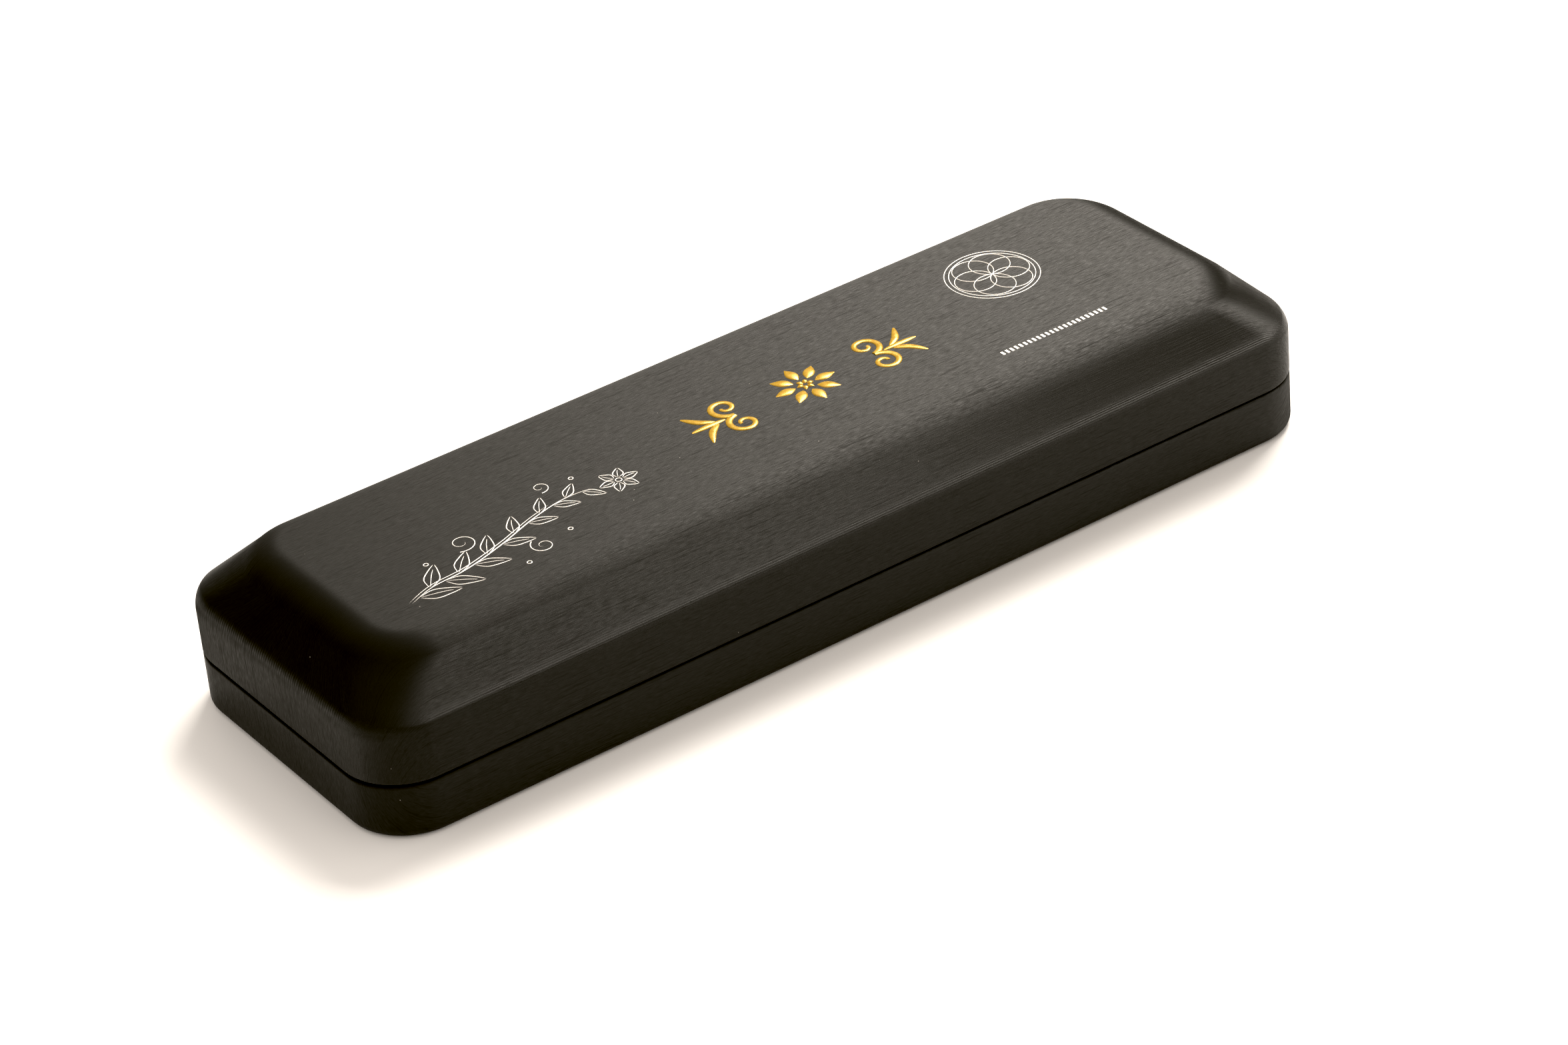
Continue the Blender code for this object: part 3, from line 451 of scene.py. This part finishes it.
def loft_skin(name, sections, facing_down=False):
    """Sections are (end point, side point, lean) from the rim to the flat face."""
    rings = [case_ring(*section) for section in sections]
    flat_edge = rings[-1]
    reach = [(0.0, 0.0)]
    for later, earlier in zip(sections[:0:-1], sections[-2::-1]):
        steps = [(Vector(later[k]) - Vector(earlier[k])).length for k in (0, 1)]
        reach.append((reach[-1][0] + steps[0], reach[-1][1] + steps[1]))
    reach.reverse()
    body = bmesh.new()
    film = body.loops.layers.uv.new("film")
    places = {}
    rows = []
    for ring, (end_reach, side_reach) in zip(rings, reach):
        row = []
        for (x, y, z, share, out), (flat_x, flat_y, *_) in zip(ring, flat_edge):
            corner = body.verts.new((x, y, z))
            run = mix(end_reach, side_reach, share)
            places[corner] = ((flat_y + out[1] * run) / MILLIMETRE, (flat_x + out[0] * run) / MILLIMETRE)
            row.append(corner)
        rows.append(row)
    for lower, upper in zip(rows, rows[1:]):
        for i in range(len(lower)):
            j = (i + 1) % len(lower)
            body.faces.new((lower[i], lower[j], upper[j], upper[i]))
    body.faces.new(rows[-1])
    if facing_down:
        bmesh.ops.reverse_faces(body, faces=body.faces)
    for face in body.faces:
        for loop in face.loops:
            loop[film].uv = places[loop.vert]
    mesh = bpy.data.meshes.new(name)
    body.to_mesh(mesh)
    body.free()
    piece = bpy.data.objects.new(name, mesh)
    bpy.context.scene.collection.objects.link(piece)
    return piece


def settle(piece, angle=35):
    """Turn a piece's live modifiers into plain mesh, smooth below the angle."""
    graph = bpy.context.evaluated_depsgraph_get()
    mesh = bpy.data.meshes.new_from_object(piece.evaluated_get(graph))
    piece.modifiers.clear()
    piece.data = mesh
    mesh.shade_smooth()
    mesh.set_sharp_from_angle(angle=math.radians(angle))
    return piece


def level(height):
    return ((0, height), (0, height), 0)


LID_RIM = SEAM_HEIGHT + SEAM_GAP / 2
BASE_RIM = SEAM_HEIGHT - SEAM_GAP / 2
LID_RIM_RADIUS, BASE_RIM_RADIUS = 0.00045, 0.0006
BOTTOM_RADIUS = 0.0018
FLAT_MARGIN = 0.0006  # one more ring just inside the flat face keeps its shading flat

ends = lid_slope(END_INSET, 0.0060, 0.0100, 12)
sides = lid_slope(SIDE_INSET, 0.0022, 0.0080, 12)
lid_sections = [(p, p, 0) for p in hem_path(LID_RIM, 1, LID_RIM_RADIUS)]
lid_sections += [level(mix(LID_RIM, ends[0][0].y, share)) for share in (0.2, 0.5, 0.8)]
lid_sections += [(e, s, 0) for e, s in zip(ends[0], sides[0])]
lid_sections += [
    (ends[0][-1].lerp(ends[1][0], share), sides[0][-1].lerp(sides[1][0], share), share)
    for share in (0.25, 0.5, 0.75)
]
lid_sections += [(e, s, 1) for e, s in zip(ends[1], sides[1])]
lid_sections.append(
    (ends[1][-1] + Vector((FLAT_MARGIN, 0)), sides[1][-1] + Vector((FLAT_MARGIN, 0)), 1)
)
lid_skin = loft_skin("lid_film", lid_sections)

foot = rounded_corner((0, 1), (0, 0), (1, 0), BOTTOM_RADIUS, 8)
base_sections = [(p, p, 0) for p in hem_path(BASE_RIM, -1, BASE_RIM_RADIUS)]
base_sections += [level(mix(BASE_RIM, BOTTOM_RADIUS, share)) for share in (0.2, 0.5, 0.8)]
base_sections += [(p, p, 0) for p in foot]
base_sections.append((foot[-1] + Vector((FLAT_MARGIN, 0)),) * 2 + (0,))
base_skin = loft_skin("base_film", base_sections, facing_down=True)
print(len(lid_skin.data.polygons), "and", len(base_skin.data.polygons), "faces")

# %% [markdown]
# ## The film's thickness and the hinge's notch
# Solidify gives the film its 0.4 mm, inwards. A Boolean cuts the notch in both rims that the
# hinge's barrel lies in. Then the modifiers become plain mesh, and each skin takes the place of
# its CAD covering.

# %% Finish the two skins


def cut_block(low, high):
    """A block for a Boolean."""
    low, high = Vector(low), Vector(high)
    body = bmesh.new()
    size = Matrix.Diagonal((*(high - low), 1))
    bmesh.ops.create_cube(body, size=1, matrix=Matrix.Translation((low + high) / 2) @ size)
    mesh = bpy.data.meshes.new("cutter")
    body.to_mesh(mesh)
    body.free()
    block = bpy.data.objects.new("cutter", mesh)
    bpy.context.scene.collection.objects.link(block)
    return block


HINGE_HALF = 0.0492
AXIS_Y = CASE_WIDTH / 2
NOTCH_DEPTH, NOTCH_REACH, NOTCH_HALF = 0.0030, 0.0018, 0.0025
notch = cut_block(
    (-HINGE_HALF, AXIS_Y - NOTCH_DEPTH, SEAM_HEIGHT - NOTCH_HALF),
    (HINGE_HALF, AXIS_Y + NOTCH_REACH, SEAM_HEIGHT + NOTCH_HALF),
)
for skin, node, body in (
    (lid_skin, "lid_covering", "lid"),
    (base_skin, "base_covering", "base"),
):
    wall = skin.modifiers.new("wall", "SOLIDIFY")
    wall.thickness = FILM
    wall.offset = -1
    wall.use_even_offset = True
    slot = skin.modifiers.new("notch", "BOOLEAN")
    slot.operation = "DIFFERENCE"
    slot.solver = "EXACT"
    slot.object = notch
    skin.data.materials.append(brushed_film)
    settle(skin)
    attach(skin, body)
    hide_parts(node)
    print(skin.name, len(skin.data.polygons), "faces")
bpy.data.objects.remove(notch, do_unlink=True)

# %% [markdown]
# ## Strokes for the print
# The print is drawn as strokes: a path on the lid's flat top and a width at each of its points.
# Each stroke becomes a low rounded bar that is sunk a little into the film, so it has no gap
# below and its edges catch the light.

# %% Stroke helpers
PRINT_FLOOR = CASE_HEIGHT - 0.00003
SECTION = [math.radians(a) for a in (0, 20, 50, 90, 130, 160, 180)]


def smooth_path(points, steps=8):
    """A smooth curve through the points."""
    path = []
    for k in range(len(points) - 1):
        a = Vector(points[max(k - 1, 0)])
        b, c = Vector(points[k]), Vector(points[k + 1])
        d = Vector(points[min(k + 2, len(points) - 1)])
        for step in range(steps):
            t = step / steps
            path.append(
                0.5 * (2 * b + (c - a) * t + (2 * a - 5 * b + 4 * c - d) * t**2
                       + (3 * b - a - 3 * c + d) * t**3)
            )
    return path + [Vector(points[-1])]


def add_stroke(body, path, widths, height, closed=False):
    """A rounded bar along a path of 2D points in millimetres."""
    count = len(path)
    rows = []
    for k, point in enumerate(path):
        before = path[k - 1] if closed or k else path[k]
        after = path[(k + 1) % count] if closed or k < count - 1 else path[k]
        run = (after - before).normalized()
        side = Vector((-run.y, run.x))
        half = widths[k] / 2
        rise = height * min(1, widths[k] / max(widths))
        rows.append([
            body.verts.new((
                (point.x + side.x * half * math.cos(a)) * MILLIMETRE,
                (point.y + side.y * half * math.cos(a)) * MILLIMETRE,
                PRINT_FLOOR + rise * MILLIMETRE * math.sin(a) ** 0.7,
            ))
            for a in SECTION
        ])
    pairs = list(zip(rows, rows[1:])) + ([(rows[-1], rows[0])] if closed else [])
    for first, second in pairs:
        for i in range(len(SECTION)):
            j = (i + 1) % len(SECTION)
            body.faces.new((first[j], first[i], second[i], second[j]))
    if not closed:
        body.faces.new(rows[0])
        body.faces.new(rows[-1][::-1])


def finish_print(name, body, material, angle=60):
    bmesh.ops.recalc_face_normals(body, faces=body.faces)
    mesh = bpy.data.meshes.new(name)
    body.to_mesh(mesh)
    body.free()
    mesh.materials.append(material)
    piece = bpy.data.objects.new(name, mesh)
    bpy.context.scene.collection.objects.link(piece)
    settle(piece, angle)
    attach(piece, "lid")
    print(name, len(mesh.polygons), "faces")
    return piece


def thin(path, width=0.24):
    """Widths for a fine line that tapers at both ends."""
    last = len(path) - 1
    shares = [0.08 + 0.84 * k / last for k in range(last + 1)]
    return [width * (0.35 + 0.65 * math.sin(math.pi * share)) for share in shares]


# %% [markdown]
# ## The silver spray
# At the low end the lid has a drawing in fine silver lines. Here it is a leafy spray: a long bent
# stem, leaves that get smaller towards the tip, two tendrils and an open flower. It is made of
# the same strokes at hairline width.

# %% Silver spray
FOIL_HEIGHT, HAIRLINE = 0.05, 0.2


def add_leaf(body, base, heading, length, width):
    """Two bent edges and a midrib."""
    along = Vector((math.cos(heading), math.sin(heading)))
    across = Vector((-along.y, along.x))
    tip = base + along * length
    for bulge in (width, -width):
        edge = smooth_path(
            [base, base + along * length * 0.35 + across * bulge,
             base + along * length * 0.72 + across * bulge * 0.62, tip], 6)
        add_stroke(body, edge, thin(edge), FOIL_HEIGHT)
    middle = base + along * length * 0.5 + across * width * 0.12
    rib = smooth_path([base, middle, base + along * length * 0.8], 4)
    add_stroke(body, rib, thin(rib, 0.16), FOIL_HEIGHT)


def add_ring(body, centre, radius, steps):
    """A closed hairline circle."""
    angles = [k / steps * math.tau for k in range(steps)]
    circle = [centre + Vector((math.cos(angle), math.sin(angle))) * radius for angle in angles]
    add_stroke(body, circle, [HAIRLINE] * steps, FOIL_HEIGHT, closed=True)


def add_spiral(body, centre, radius, turns, start, width, height=FOIL_HEIGHT, inner=0.12):
    """A tendril that winds in to a centre."""
    steps = int(turns * 22)
    path = []
    for k in range(steps + 1):
        share = k / steps
        reach = radius * mix(1, inner, share**0.8)
        angle = start + turns * 2 * math.pi * share
        path.append(centre + Vector((math.cos(angle), math.sin(angle))) * reach)
    add_stroke(body, path, [mix(width, width * 0.55, k / steps) for k in range(steps + 1)], height)


def make_spray():
    body = bmesh.new()
    stem = smooth_path(
        [(-85, -15.5), (-78, -12.5), (-70, -11.6), (-61, -9.0), (-52, -5.6), (-44, -3.8),
         (-36.5, -4.6)], 10
    )
    add_stroke(body, stem, thin(stem, 0.30), FOIL_HEIGHT)
    shadow = [point + Vector((0.15, 0.75)) for point in stem[:-12]]
    add_stroke(body, shadow, thin(shadow, 0.2), FOIL_HEIGHT)
    leaves = 13
    for k in range(leaves):
        share = 0.10 + 0.80 * k / (leaves - 1)
        index = int(share * (len(stem) - 1))
        run = stem[index + 1] - stem[index]
        heading = math.atan2(run.y, run.x) + (0.72 if k % 2 else -0.72)
        add_leaf(body, stem[index], heading, mix(8.6, 4.4, share), mix(1.5, 0.85, share))
    flower = Vector((-33.4, -5.2))
    for k in range(6):
        add_leaf(body, flower + Vector((math.cos(k * math.pi / 3), math.sin(k * math.pi / 3))) * 0.8,
                 k * math.pi / 3, 3.4, 0.95)
    add_ring(body, flower, 0.6, 16)
    add_spiral(body, Vector((-66.0, -3.6)), 3.1, 1.5, -2.2, 0.24)
    add_spiral(body, Vector((-55.5, -14.2)), 2.6, 1.5, 2.0, 0.24)
    add_spiral(body, Vector((-45.5, 2.4)), 2.0, 1.4, -1.9, 0.22)
    for place in ((-74.5, -5.4), (-60.5, -17.3), (-39.5, 1.2), (-49.0, -13.0)):
        add_ring(body, Vector(place), 0.45, 10)
    return finish_print("silver_spray", body, silver_foil)


make_spray()

# %% [markdown]
# ## Geometry Nodes for what repeats
# A rosette of equal petals, a knot of equal rings and a row of equal marks are each one shape
# placed many times, which is what Geometry Nodes do best. A tree is built in the script with
# named inputs. It places copies on points, realises them and sets their material. Its inputs are
# set by identifier before the object is first evaluated, and the result is kept as plain mesh.

# %% Tree helpers


def new_tree(name, inputs):
    """A node group with geometry in and out, and the named inputs with their defaults."""
    tree = bpy.data.node_groups.new(name, "GeometryNodeTree")
    tree.interface.new_socket("Geometry", in_out="INPUT", socket_type="NodeSocketGeometry")
    tree.interface.new_socket("Geometry", in_out="OUTPUT", socket_type="NodeSocketGeometry")
    for label, (kind, value) in inputs.items():
        socket = tree.interface.new_socket(label, in_out="INPUT", socket_type="NodeSocket" + kind)
        if value is not None:
            socket.default_value = value
    return tree, tree.nodes.new("NodeGroupInput"), tree.nodes.new("NodeGroupOutput")


def put(tree, kind, links=(), **settings):
    """A node of a tree, with (socket, value or output) pairs."""
    made = tree.nodes.new(kind)
    for name, value in settings.items():
        setattr(made, name, value)
    for socket, value in links:
        if isinstance(value, bpy.types.NodeSocket):
            tree.links.new(value, made.inputs[socket])
        else:
            made.inputs[socket].default_value = value
    return made


def end_tree(tree, leave, geometry, material):
    """Realize Instances and Set Material close every tree."""
    real = put(tree, "GeometryNodeRealizeInstances", [("Geometry", geometry)])
    painted = put(tree, "GeometryNodeSetMaterial", [
        ("Geometry", real.outputs[0]), ("Material", material)])
    tree.links.new(painted.outputs[0], leave.inputs[0])


def grow(name, tree, values, mesh=None):
    """Run a tree on a mesh and keep the result as a plain mesh object."""
    piece = bpy.data.objects.new(name, mesh or bpy.data.meshes.new(name))
    bpy.context.scene.collection.objects.link(piece)
    run = piece.modifiers.new("grow", "NODES")
    run.node_group = tree
    for item in tree.interface.items_tree:
        if item.in_out == "INPUT" and item.name in values:
            run[item.identifier] = values[item.name]
    return settle(piece, 60)


# %% [markdown]
# ## The silver knot
# Six rings, each through the middle of the figure, and one ring round them all. The tree bends a
# round wire into one ring and places it on the points of a circle.

# %% Silver knot


def make_ring_tree():
    tree, enter, leave = new_tree("ring_knot", {
        "Count": ("Int", 6), "Spread": ("Float", 0.004), "Radius": ("Float", 0.004),
        "Wire": ("Float", 0.0001),
    })
    given = enter.outputs
    centres = put(tree, "GeometryNodeMeshCircle", [
        ("Vertices", given["Count"]), ("Radius", given["Spread"])])
    ring = put(tree, "GeometryNodeCurvePrimitiveCircle", [
        ("Resolution", 64), ("Radius", given["Radius"])])
    wire = put(tree, "GeometryNodeCurvePrimitiveCircle", [
        ("Resolution", 8), ("Radius", given["Wire"])])
    tube = put(tree, "GeometryNodeCurveToMesh", [
        ("Curve", ring.outputs[0]), ("Profile Curve", wire.outputs[0])])
    copies = put(tree, "GeometryNodeInstanceOnPoints", [
        ("Points", centres.outputs[0]), ("Instance", tube.outputs[0])])
    end_tree(tree, leave, copies.outputs[0], silver_foil)
    return tree


def place_on_lid(piece, x, y):
    """Move a printed piece to its place on the flat top, in its mesh."""
    piece.data.transform(Matrix.Translation((x * MILLIMETRE, y * MILLIMETRE, CASE_HEIGHT)))
    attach(piece, "lid")
    print(piece.name, len(piece.data.polygons), "faces")


KNOT = Vector((61.5, 7.5))
ring_tree = make_ring_tree()
knot = grow("silver_knot", ring_tree, {
    "Count": 6, "Spread": 0.0040, "Radius": 0.0040, "Wire": 0.0001})
place_on_lid(knot, *KNOT)
rims = bmesh.new()
for radius in (8.3, 9.2):
    add_ring(rims, KNOT, radius, 80)
finish_print("silver_knot_rims", rims, silver_foil)

# %% [markdown]
# ## The row of marks
# Near the front edge of the flat top runs a short line of small silver marks, one for each hole
# of the harmonica.

# %% Row of marks


def make_row_tree():
    tree, enter, leave = new_tree("row_of_marks", {
        "Count": ("Int", 24), "Pitch": ("Float", 0.001), "Length": ("Float", 0.0005),
        "Depth": ("Float", 0.001), "Height": ("Float", 0.00005),
    })
    offset = put(tree, "ShaderNodeCombineXYZ", [("X", enter.outputs["Pitch"])])
    line = put(tree, "GeometryNodeMeshLine", [
        ("Count", enter.outputs["Count"]), ("Offset", offset.outputs[0])])
    size = put(tree, "ShaderNodeCombineXYZ", [
        ("X", enter.outputs["Length"]), ("Y", enter.outputs["Depth"]), ("Z", enter.outputs["Height"])])
    mark = put(tree, "GeometryNodeMeshCube", [("Size", size.outputs[0])])
    copies = put(tree, "GeometryNodeInstanceOnPoints", [
        ("Points", line.outputs[0]), ("Instance", mark.outputs[0])])
    end_tree(tree, leave, copies.outputs[0], silver_foil)
    return tree


row_tree = make_row_tree()
marks = grow("silver_marks", row_tree, {
    "Count": 24, "Pitch": 0.00105, "Length": 0.0005, "Depth": 0.0012, "Height": 0.0001})
place_on_lid(marks, 44.4, -17.6)

# %% [markdown]
# ## The gold print
# In the middle stands the gold print, much bolder than the silver: a rosette between two pairs of
# scrolls. The rosette's petals are one domed leaf shape, placed round a circle by a tree. The
# scrolls are strokes whose width swells and tapers.

# %% Gold rosette and scrolls
GOLD_HEIGHT = 0.28


def make_petal_mesh(length, width, height):
    """A pointed dome that lies along +X, in millimetres."""
    body = bmesh.new()
    path = [Vector((length * k / 12, 0)) for k in range(13)]
    widths = [width * max(0.06, math.sin(math.pi * (k / 12) ** 0.85)) for k in range(13)]
    add_stroke(body, path, widths, height)
    bmesh.ops.recalc_face_normals(body, faces=body.faces)
    mesh = bpy.data.meshes.new("petal")
    body.to_mesh(mesh)
    body.free()
    mesh.transform(Matrix.Translation((0, 0, -CASE_HEIGHT)))
    return mesh


def make_petal_tree():
    tree, enter, leave = new_tree("ring_of_petals", {
        "Count": ("Int", 8), "Radius": ("Float", 0.002), "Size": ("Float", 1.0),
    })
    circle = put(tree, "GeometryNodeCurvePrimitiveCircle", [("Radius", enter.outputs["Radius"])])
    points = put(tree, "GeometryNodeCurveToPoints", [
        ("Curve", circle.outputs[0]), ("Count", enter.outputs["Count"])], mode="COUNT")
    place = put(tree, "GeometryNodeInputPosition")
    turn = put(
        tree, "FunctionNodeAlignEulerToVector", [("Vector", place.outputs[0])],
        axis="X", pivot_axis="Z")
    copies = put(tree, "GeometryNodeInstanceOnPoints", [
        ("Points", points.outputs[0]), ("Instance", enter.outputs["Geometry"]),
        ("Rotation", turn.outputs[0]), ("Scale", enter.outputs["Size"])])
    end_tree(tree, leave, copies.outputs[0], gold_ink)
    return tree


petal_tree = make_petal_tree()
petals = make_petal_mesh(4.6, 2.3, GOLD_HEIGHT)
ROSETTE = (11.0, -1.2)
rosette = grow("gold_rosette", petal_tree, {"Count": 8, "Radius": 0.0022, "Size": 1.0}, petals)
place_on_lid(rosette, *ROSETTE)
buds = make_petal_mesh(1.5, 1.0, GOLD_HEIGHT)
heart = grow("gold_rosette_heart", petal_tree, {"Count": 6, "Radius": 0.0004, "Size": 1.0}, buds)
place_on_lid(heart, *ROSETTE)


def swell(path, tip, middle):
    """Widths for a bold stroke that is fullest halfway."""
    last = len(path) - 1
    return [mix(tip, middle, math.sin(math.pi * k / last)) for k in range(last + 1)]


def make_scrolls():
    body = bmesh.new()
    for side in (-1, 1):
        centre = Vector((ROSETTE[0] + side * 15.0, ROSETTE[1]))
        for lift in (-1, 1):
            hub = centre + Vector((side * 1.0, lift * 3.4))
            start = -lift * math.pi / 2 if side > 0 else math.pi + lift * math.pi / 2
            steps = 34
            path, widths = [], []
            for k in range(steps + 1):
                share = k / steps
                reach = mix(3.4, 0.7, share**0.85)
                angle = start + side * lift * 2.5 * math.pi * share
                path.append(hub + Vector((math.cos(angle), math.sin(angle))) * reach)
                widths.append(mix(1.35, 0.75, share))
            add_stroke(body, path, widths, GOLD_HEIGHT)
            leaf = smooth_path([
                centre + Vector((side * 5.0, lift * 0.6)),
                centre + Vector((side * 7.4, lift * 2.2)),
                centre + Vector((side * 9.4, lift * 5.4)),
            ], 8)
            add_stroke(body, leaf, swell(leaf, 0.35, 1.5), GOLD_HEIGHT)
        bar = smooth_path([centre + Vector((side * 3.2, 0)), centre + Vector((side * 10.5, 0))], 12)
        add_stroke(body, bar, swell(bar, 0.4, 1.3), GOLD_HEIGHT)
    return finish_print("gold_scrolls", body, gold_ink)


make_scrolls()

# %% [markdown]
# ## Pieces that keep the CAD's shape
# The harmonica, the hinge and the linings have the right shape already. The flat ones only need
# their material. The CAD's mesh is loose triangles, which shade as facets, so a curved piece gets
# a copy with its points merged and its normals smoothed, and that copy stands for it.

# %% Smooth copies and materials
BODY_OF = {
    name: body for body, names in frame["record"]["behaviour"]["bodies"].items() for name in names
}
FINISH_OF = {
    "case_steel": case_steel, "flock": flock, "hinge_steel": hinge_steel,
    "spring_steel": spring_steel, "comb_plastic": comb_plastic, "plate_brass": plate_brass,
    "reed_brass": reed_brass, "cover_steel": cover_steel, "bolt_steel": bolt_steel,
    "brushed_film": brushed_film,
}
SLOT_OF = {part["node"]: part["material_slot"] for part in frame["record"]["subparts"]}


SAME_POINT = 1e-6


def smooth_copy(node, angle=35):
    """A merged and smoothed copy that stands for a CAD node."""
    body = bmesh.new()
    body.from_mesh(frame["nodes"][node].data)
    bmesh.ops.remove_doubles(body, verts=body.verts, dist=SAME_POINT)
    mesh = bpy.data.meshes.new(node + "_smooth")
    body.to_mesh(mesh)
    body.free()
    mesh.materials.append(FINISH_OF[SLOT_OF[node]])
    piece = bpy.data.objects.new(node + "_smooth", mesh)
    bpy.context.scene.collection.objects.link(piece)
    settle(piece, angle)
    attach(piece, BODY_OF[node])
    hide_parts(node)
    return piece


ROUNDED = [
    "base_tray", "lid_lining", "hinge_lid_leaf", "hinge_base_leaf", "hinge_pin",
    "snap_spring_left", "snap_spring_right", "upper_cover_plate", "lower_cover_plate",
    "cover_bolt_left", "cover_bolt_right", "cover_nut_left", "cover_nut_right",
]
for node in ROUNDED:
    smooth_copy(node)
plain = [node for node in frame["nodes"] if node not in ROUNDED]
for node in plain:
    slots = frame["nodes"][node].data.materials
    slots.clear()
    slots.append(FINISH_OF[SLOT_OF[node]])
print(len(ROUNDED), "smooth copies,", len(plain), "nodes with a new material")

# %% [markdown]
# ## Table and light
# The table is white and lit until it burns out, as in a product picture. Three things light it.
# A pale room lights every dull surface from all sides, which makes the soft shadows. A soft key
# light hangs high behind the case on the right, and the film mirrors it across its grain: grey at
# the high end, nearly black at the low end. A small card in front lifts the slope and the
# shoulder, and only the gloss sees it. The picture is then developed with a black point, because
# the darkest parts of the photograph are plain black.

# %% Table and lights


TABLE_HALF = 2.5
LAMP_COLOUR = (1.0, 0.93, 0.84)
KEY_PLACE, KEY_SIZE, KEY_POWER = (0.82, 0.52, 1.10), 0.66, 36
CARD_PLACE, CARD_SIZE, CARD_POWER = (0.85, -0.25, 1.00), 0.5, 15
ROOM_LIGHT = (1.08, 0.98, 0.88)
CEILING_FROM, CEILING_TO = 0.60, 0.95  # the height of a direction, from 0 level to 1 upright
CEILING_GLOSS = 0.5
BLACK_POINT = (0.0068, 0.0072, 0.0100)


def make_table():
    body = bmesh.new()
    bmesh.ops.create_grid(body, x_segments=1, y_segments=1, size=TABLE_HALF)
    mesh = bpy.data.meshes.new("table")
    body.to_mesh(mesh)
    body.free()
    mesh.materials.append(start_finish("table_white", (0.86, 0.86, 0.86), 0.8)[0])
    table = bpy.data.objects.new("table", mesh)
    bpy.context.scene.collection.objects.link(table)


def hang_light(name, place, size, power):
    """A square soft light that faces the case."""
    lamp = bpy.data.lights.new(name, "AREA")
    lamp.size = size
    lamp.energy = power
    lamp.color = LAMP_COLOUR
    light = bpy.data.objects.new(name, lamp)
    light.location = place
    light.rotation_euler = (-Vector(place)).to_track_quat("-Z", "Y").to_euler()
    bpy.context.scene.collection.objects.link(light)
    return light


def light_room():
    """A pale warm room: it lights every dull surface, and gloss mirrors only its ceiling."""
    world = bpy.data.worlds.new("room")
    world.use_nodes = True
    tree = world.node_tree
    background = tree.nodes["Background"]
    background.inputs["Color"].default_value = (*ROOM_LIGHT, 1)
    ray = tree.nodes.new("ShaderNodeLightPath")
    way = tree.nodes.new("ShaderNodeTexCoord")
    split = tree.nodes.new("ShaderNodeSeparateXYZ")
    ceiling = tree.nodes.new("ShaderNodeMapRange")
    ceiling.inputs["From Min"].default_value = CEILING_FROM
    ceiling.inputs["From Max"].default_value = CEILING_TO
    ceiling.inputs["To Max"].default_value = CEILING_GLOSS
    choose = tree.nodes.new("ShaderNodeMix")
    choose.inputs["A"].default_value = 1
    tree.links.new(way.outputs["Generated"], split.inputs[0])
    tree.links.new(split.outputs["Z"], ceiling.inputs["Value"])
    tree.links.new(ray.outputs["Is Glossy Ray"], choose.inputs["Factor"])
    tree.links.new(ceiling.outputs["Result"], choose.inputs["B"])
    tree.links.new(choose.outputs["Result"], background.inputs["Strength"])
    bpy.context.scene.world = world


def develop():
    """The photograph's tones: its darkest blacks hold nothing, least of all in blue."""
    view = bpy.context.scene.view_settings
    view.view_transform = "Standard"
    view.use_curve_mapping = True
    view.curve_mapping.black_level = BLACK_POINT
    view.curve_mapping.update()


make_table()
hang_light("key", KEY_PLACE, KEY_SIZE, KEY_POWER)
card = hang_light("card", CARD_PLACE, CARD_SIZE, CARD_POWER)
card.visible_diffuse = False
light_room()
develop()
print("lit")
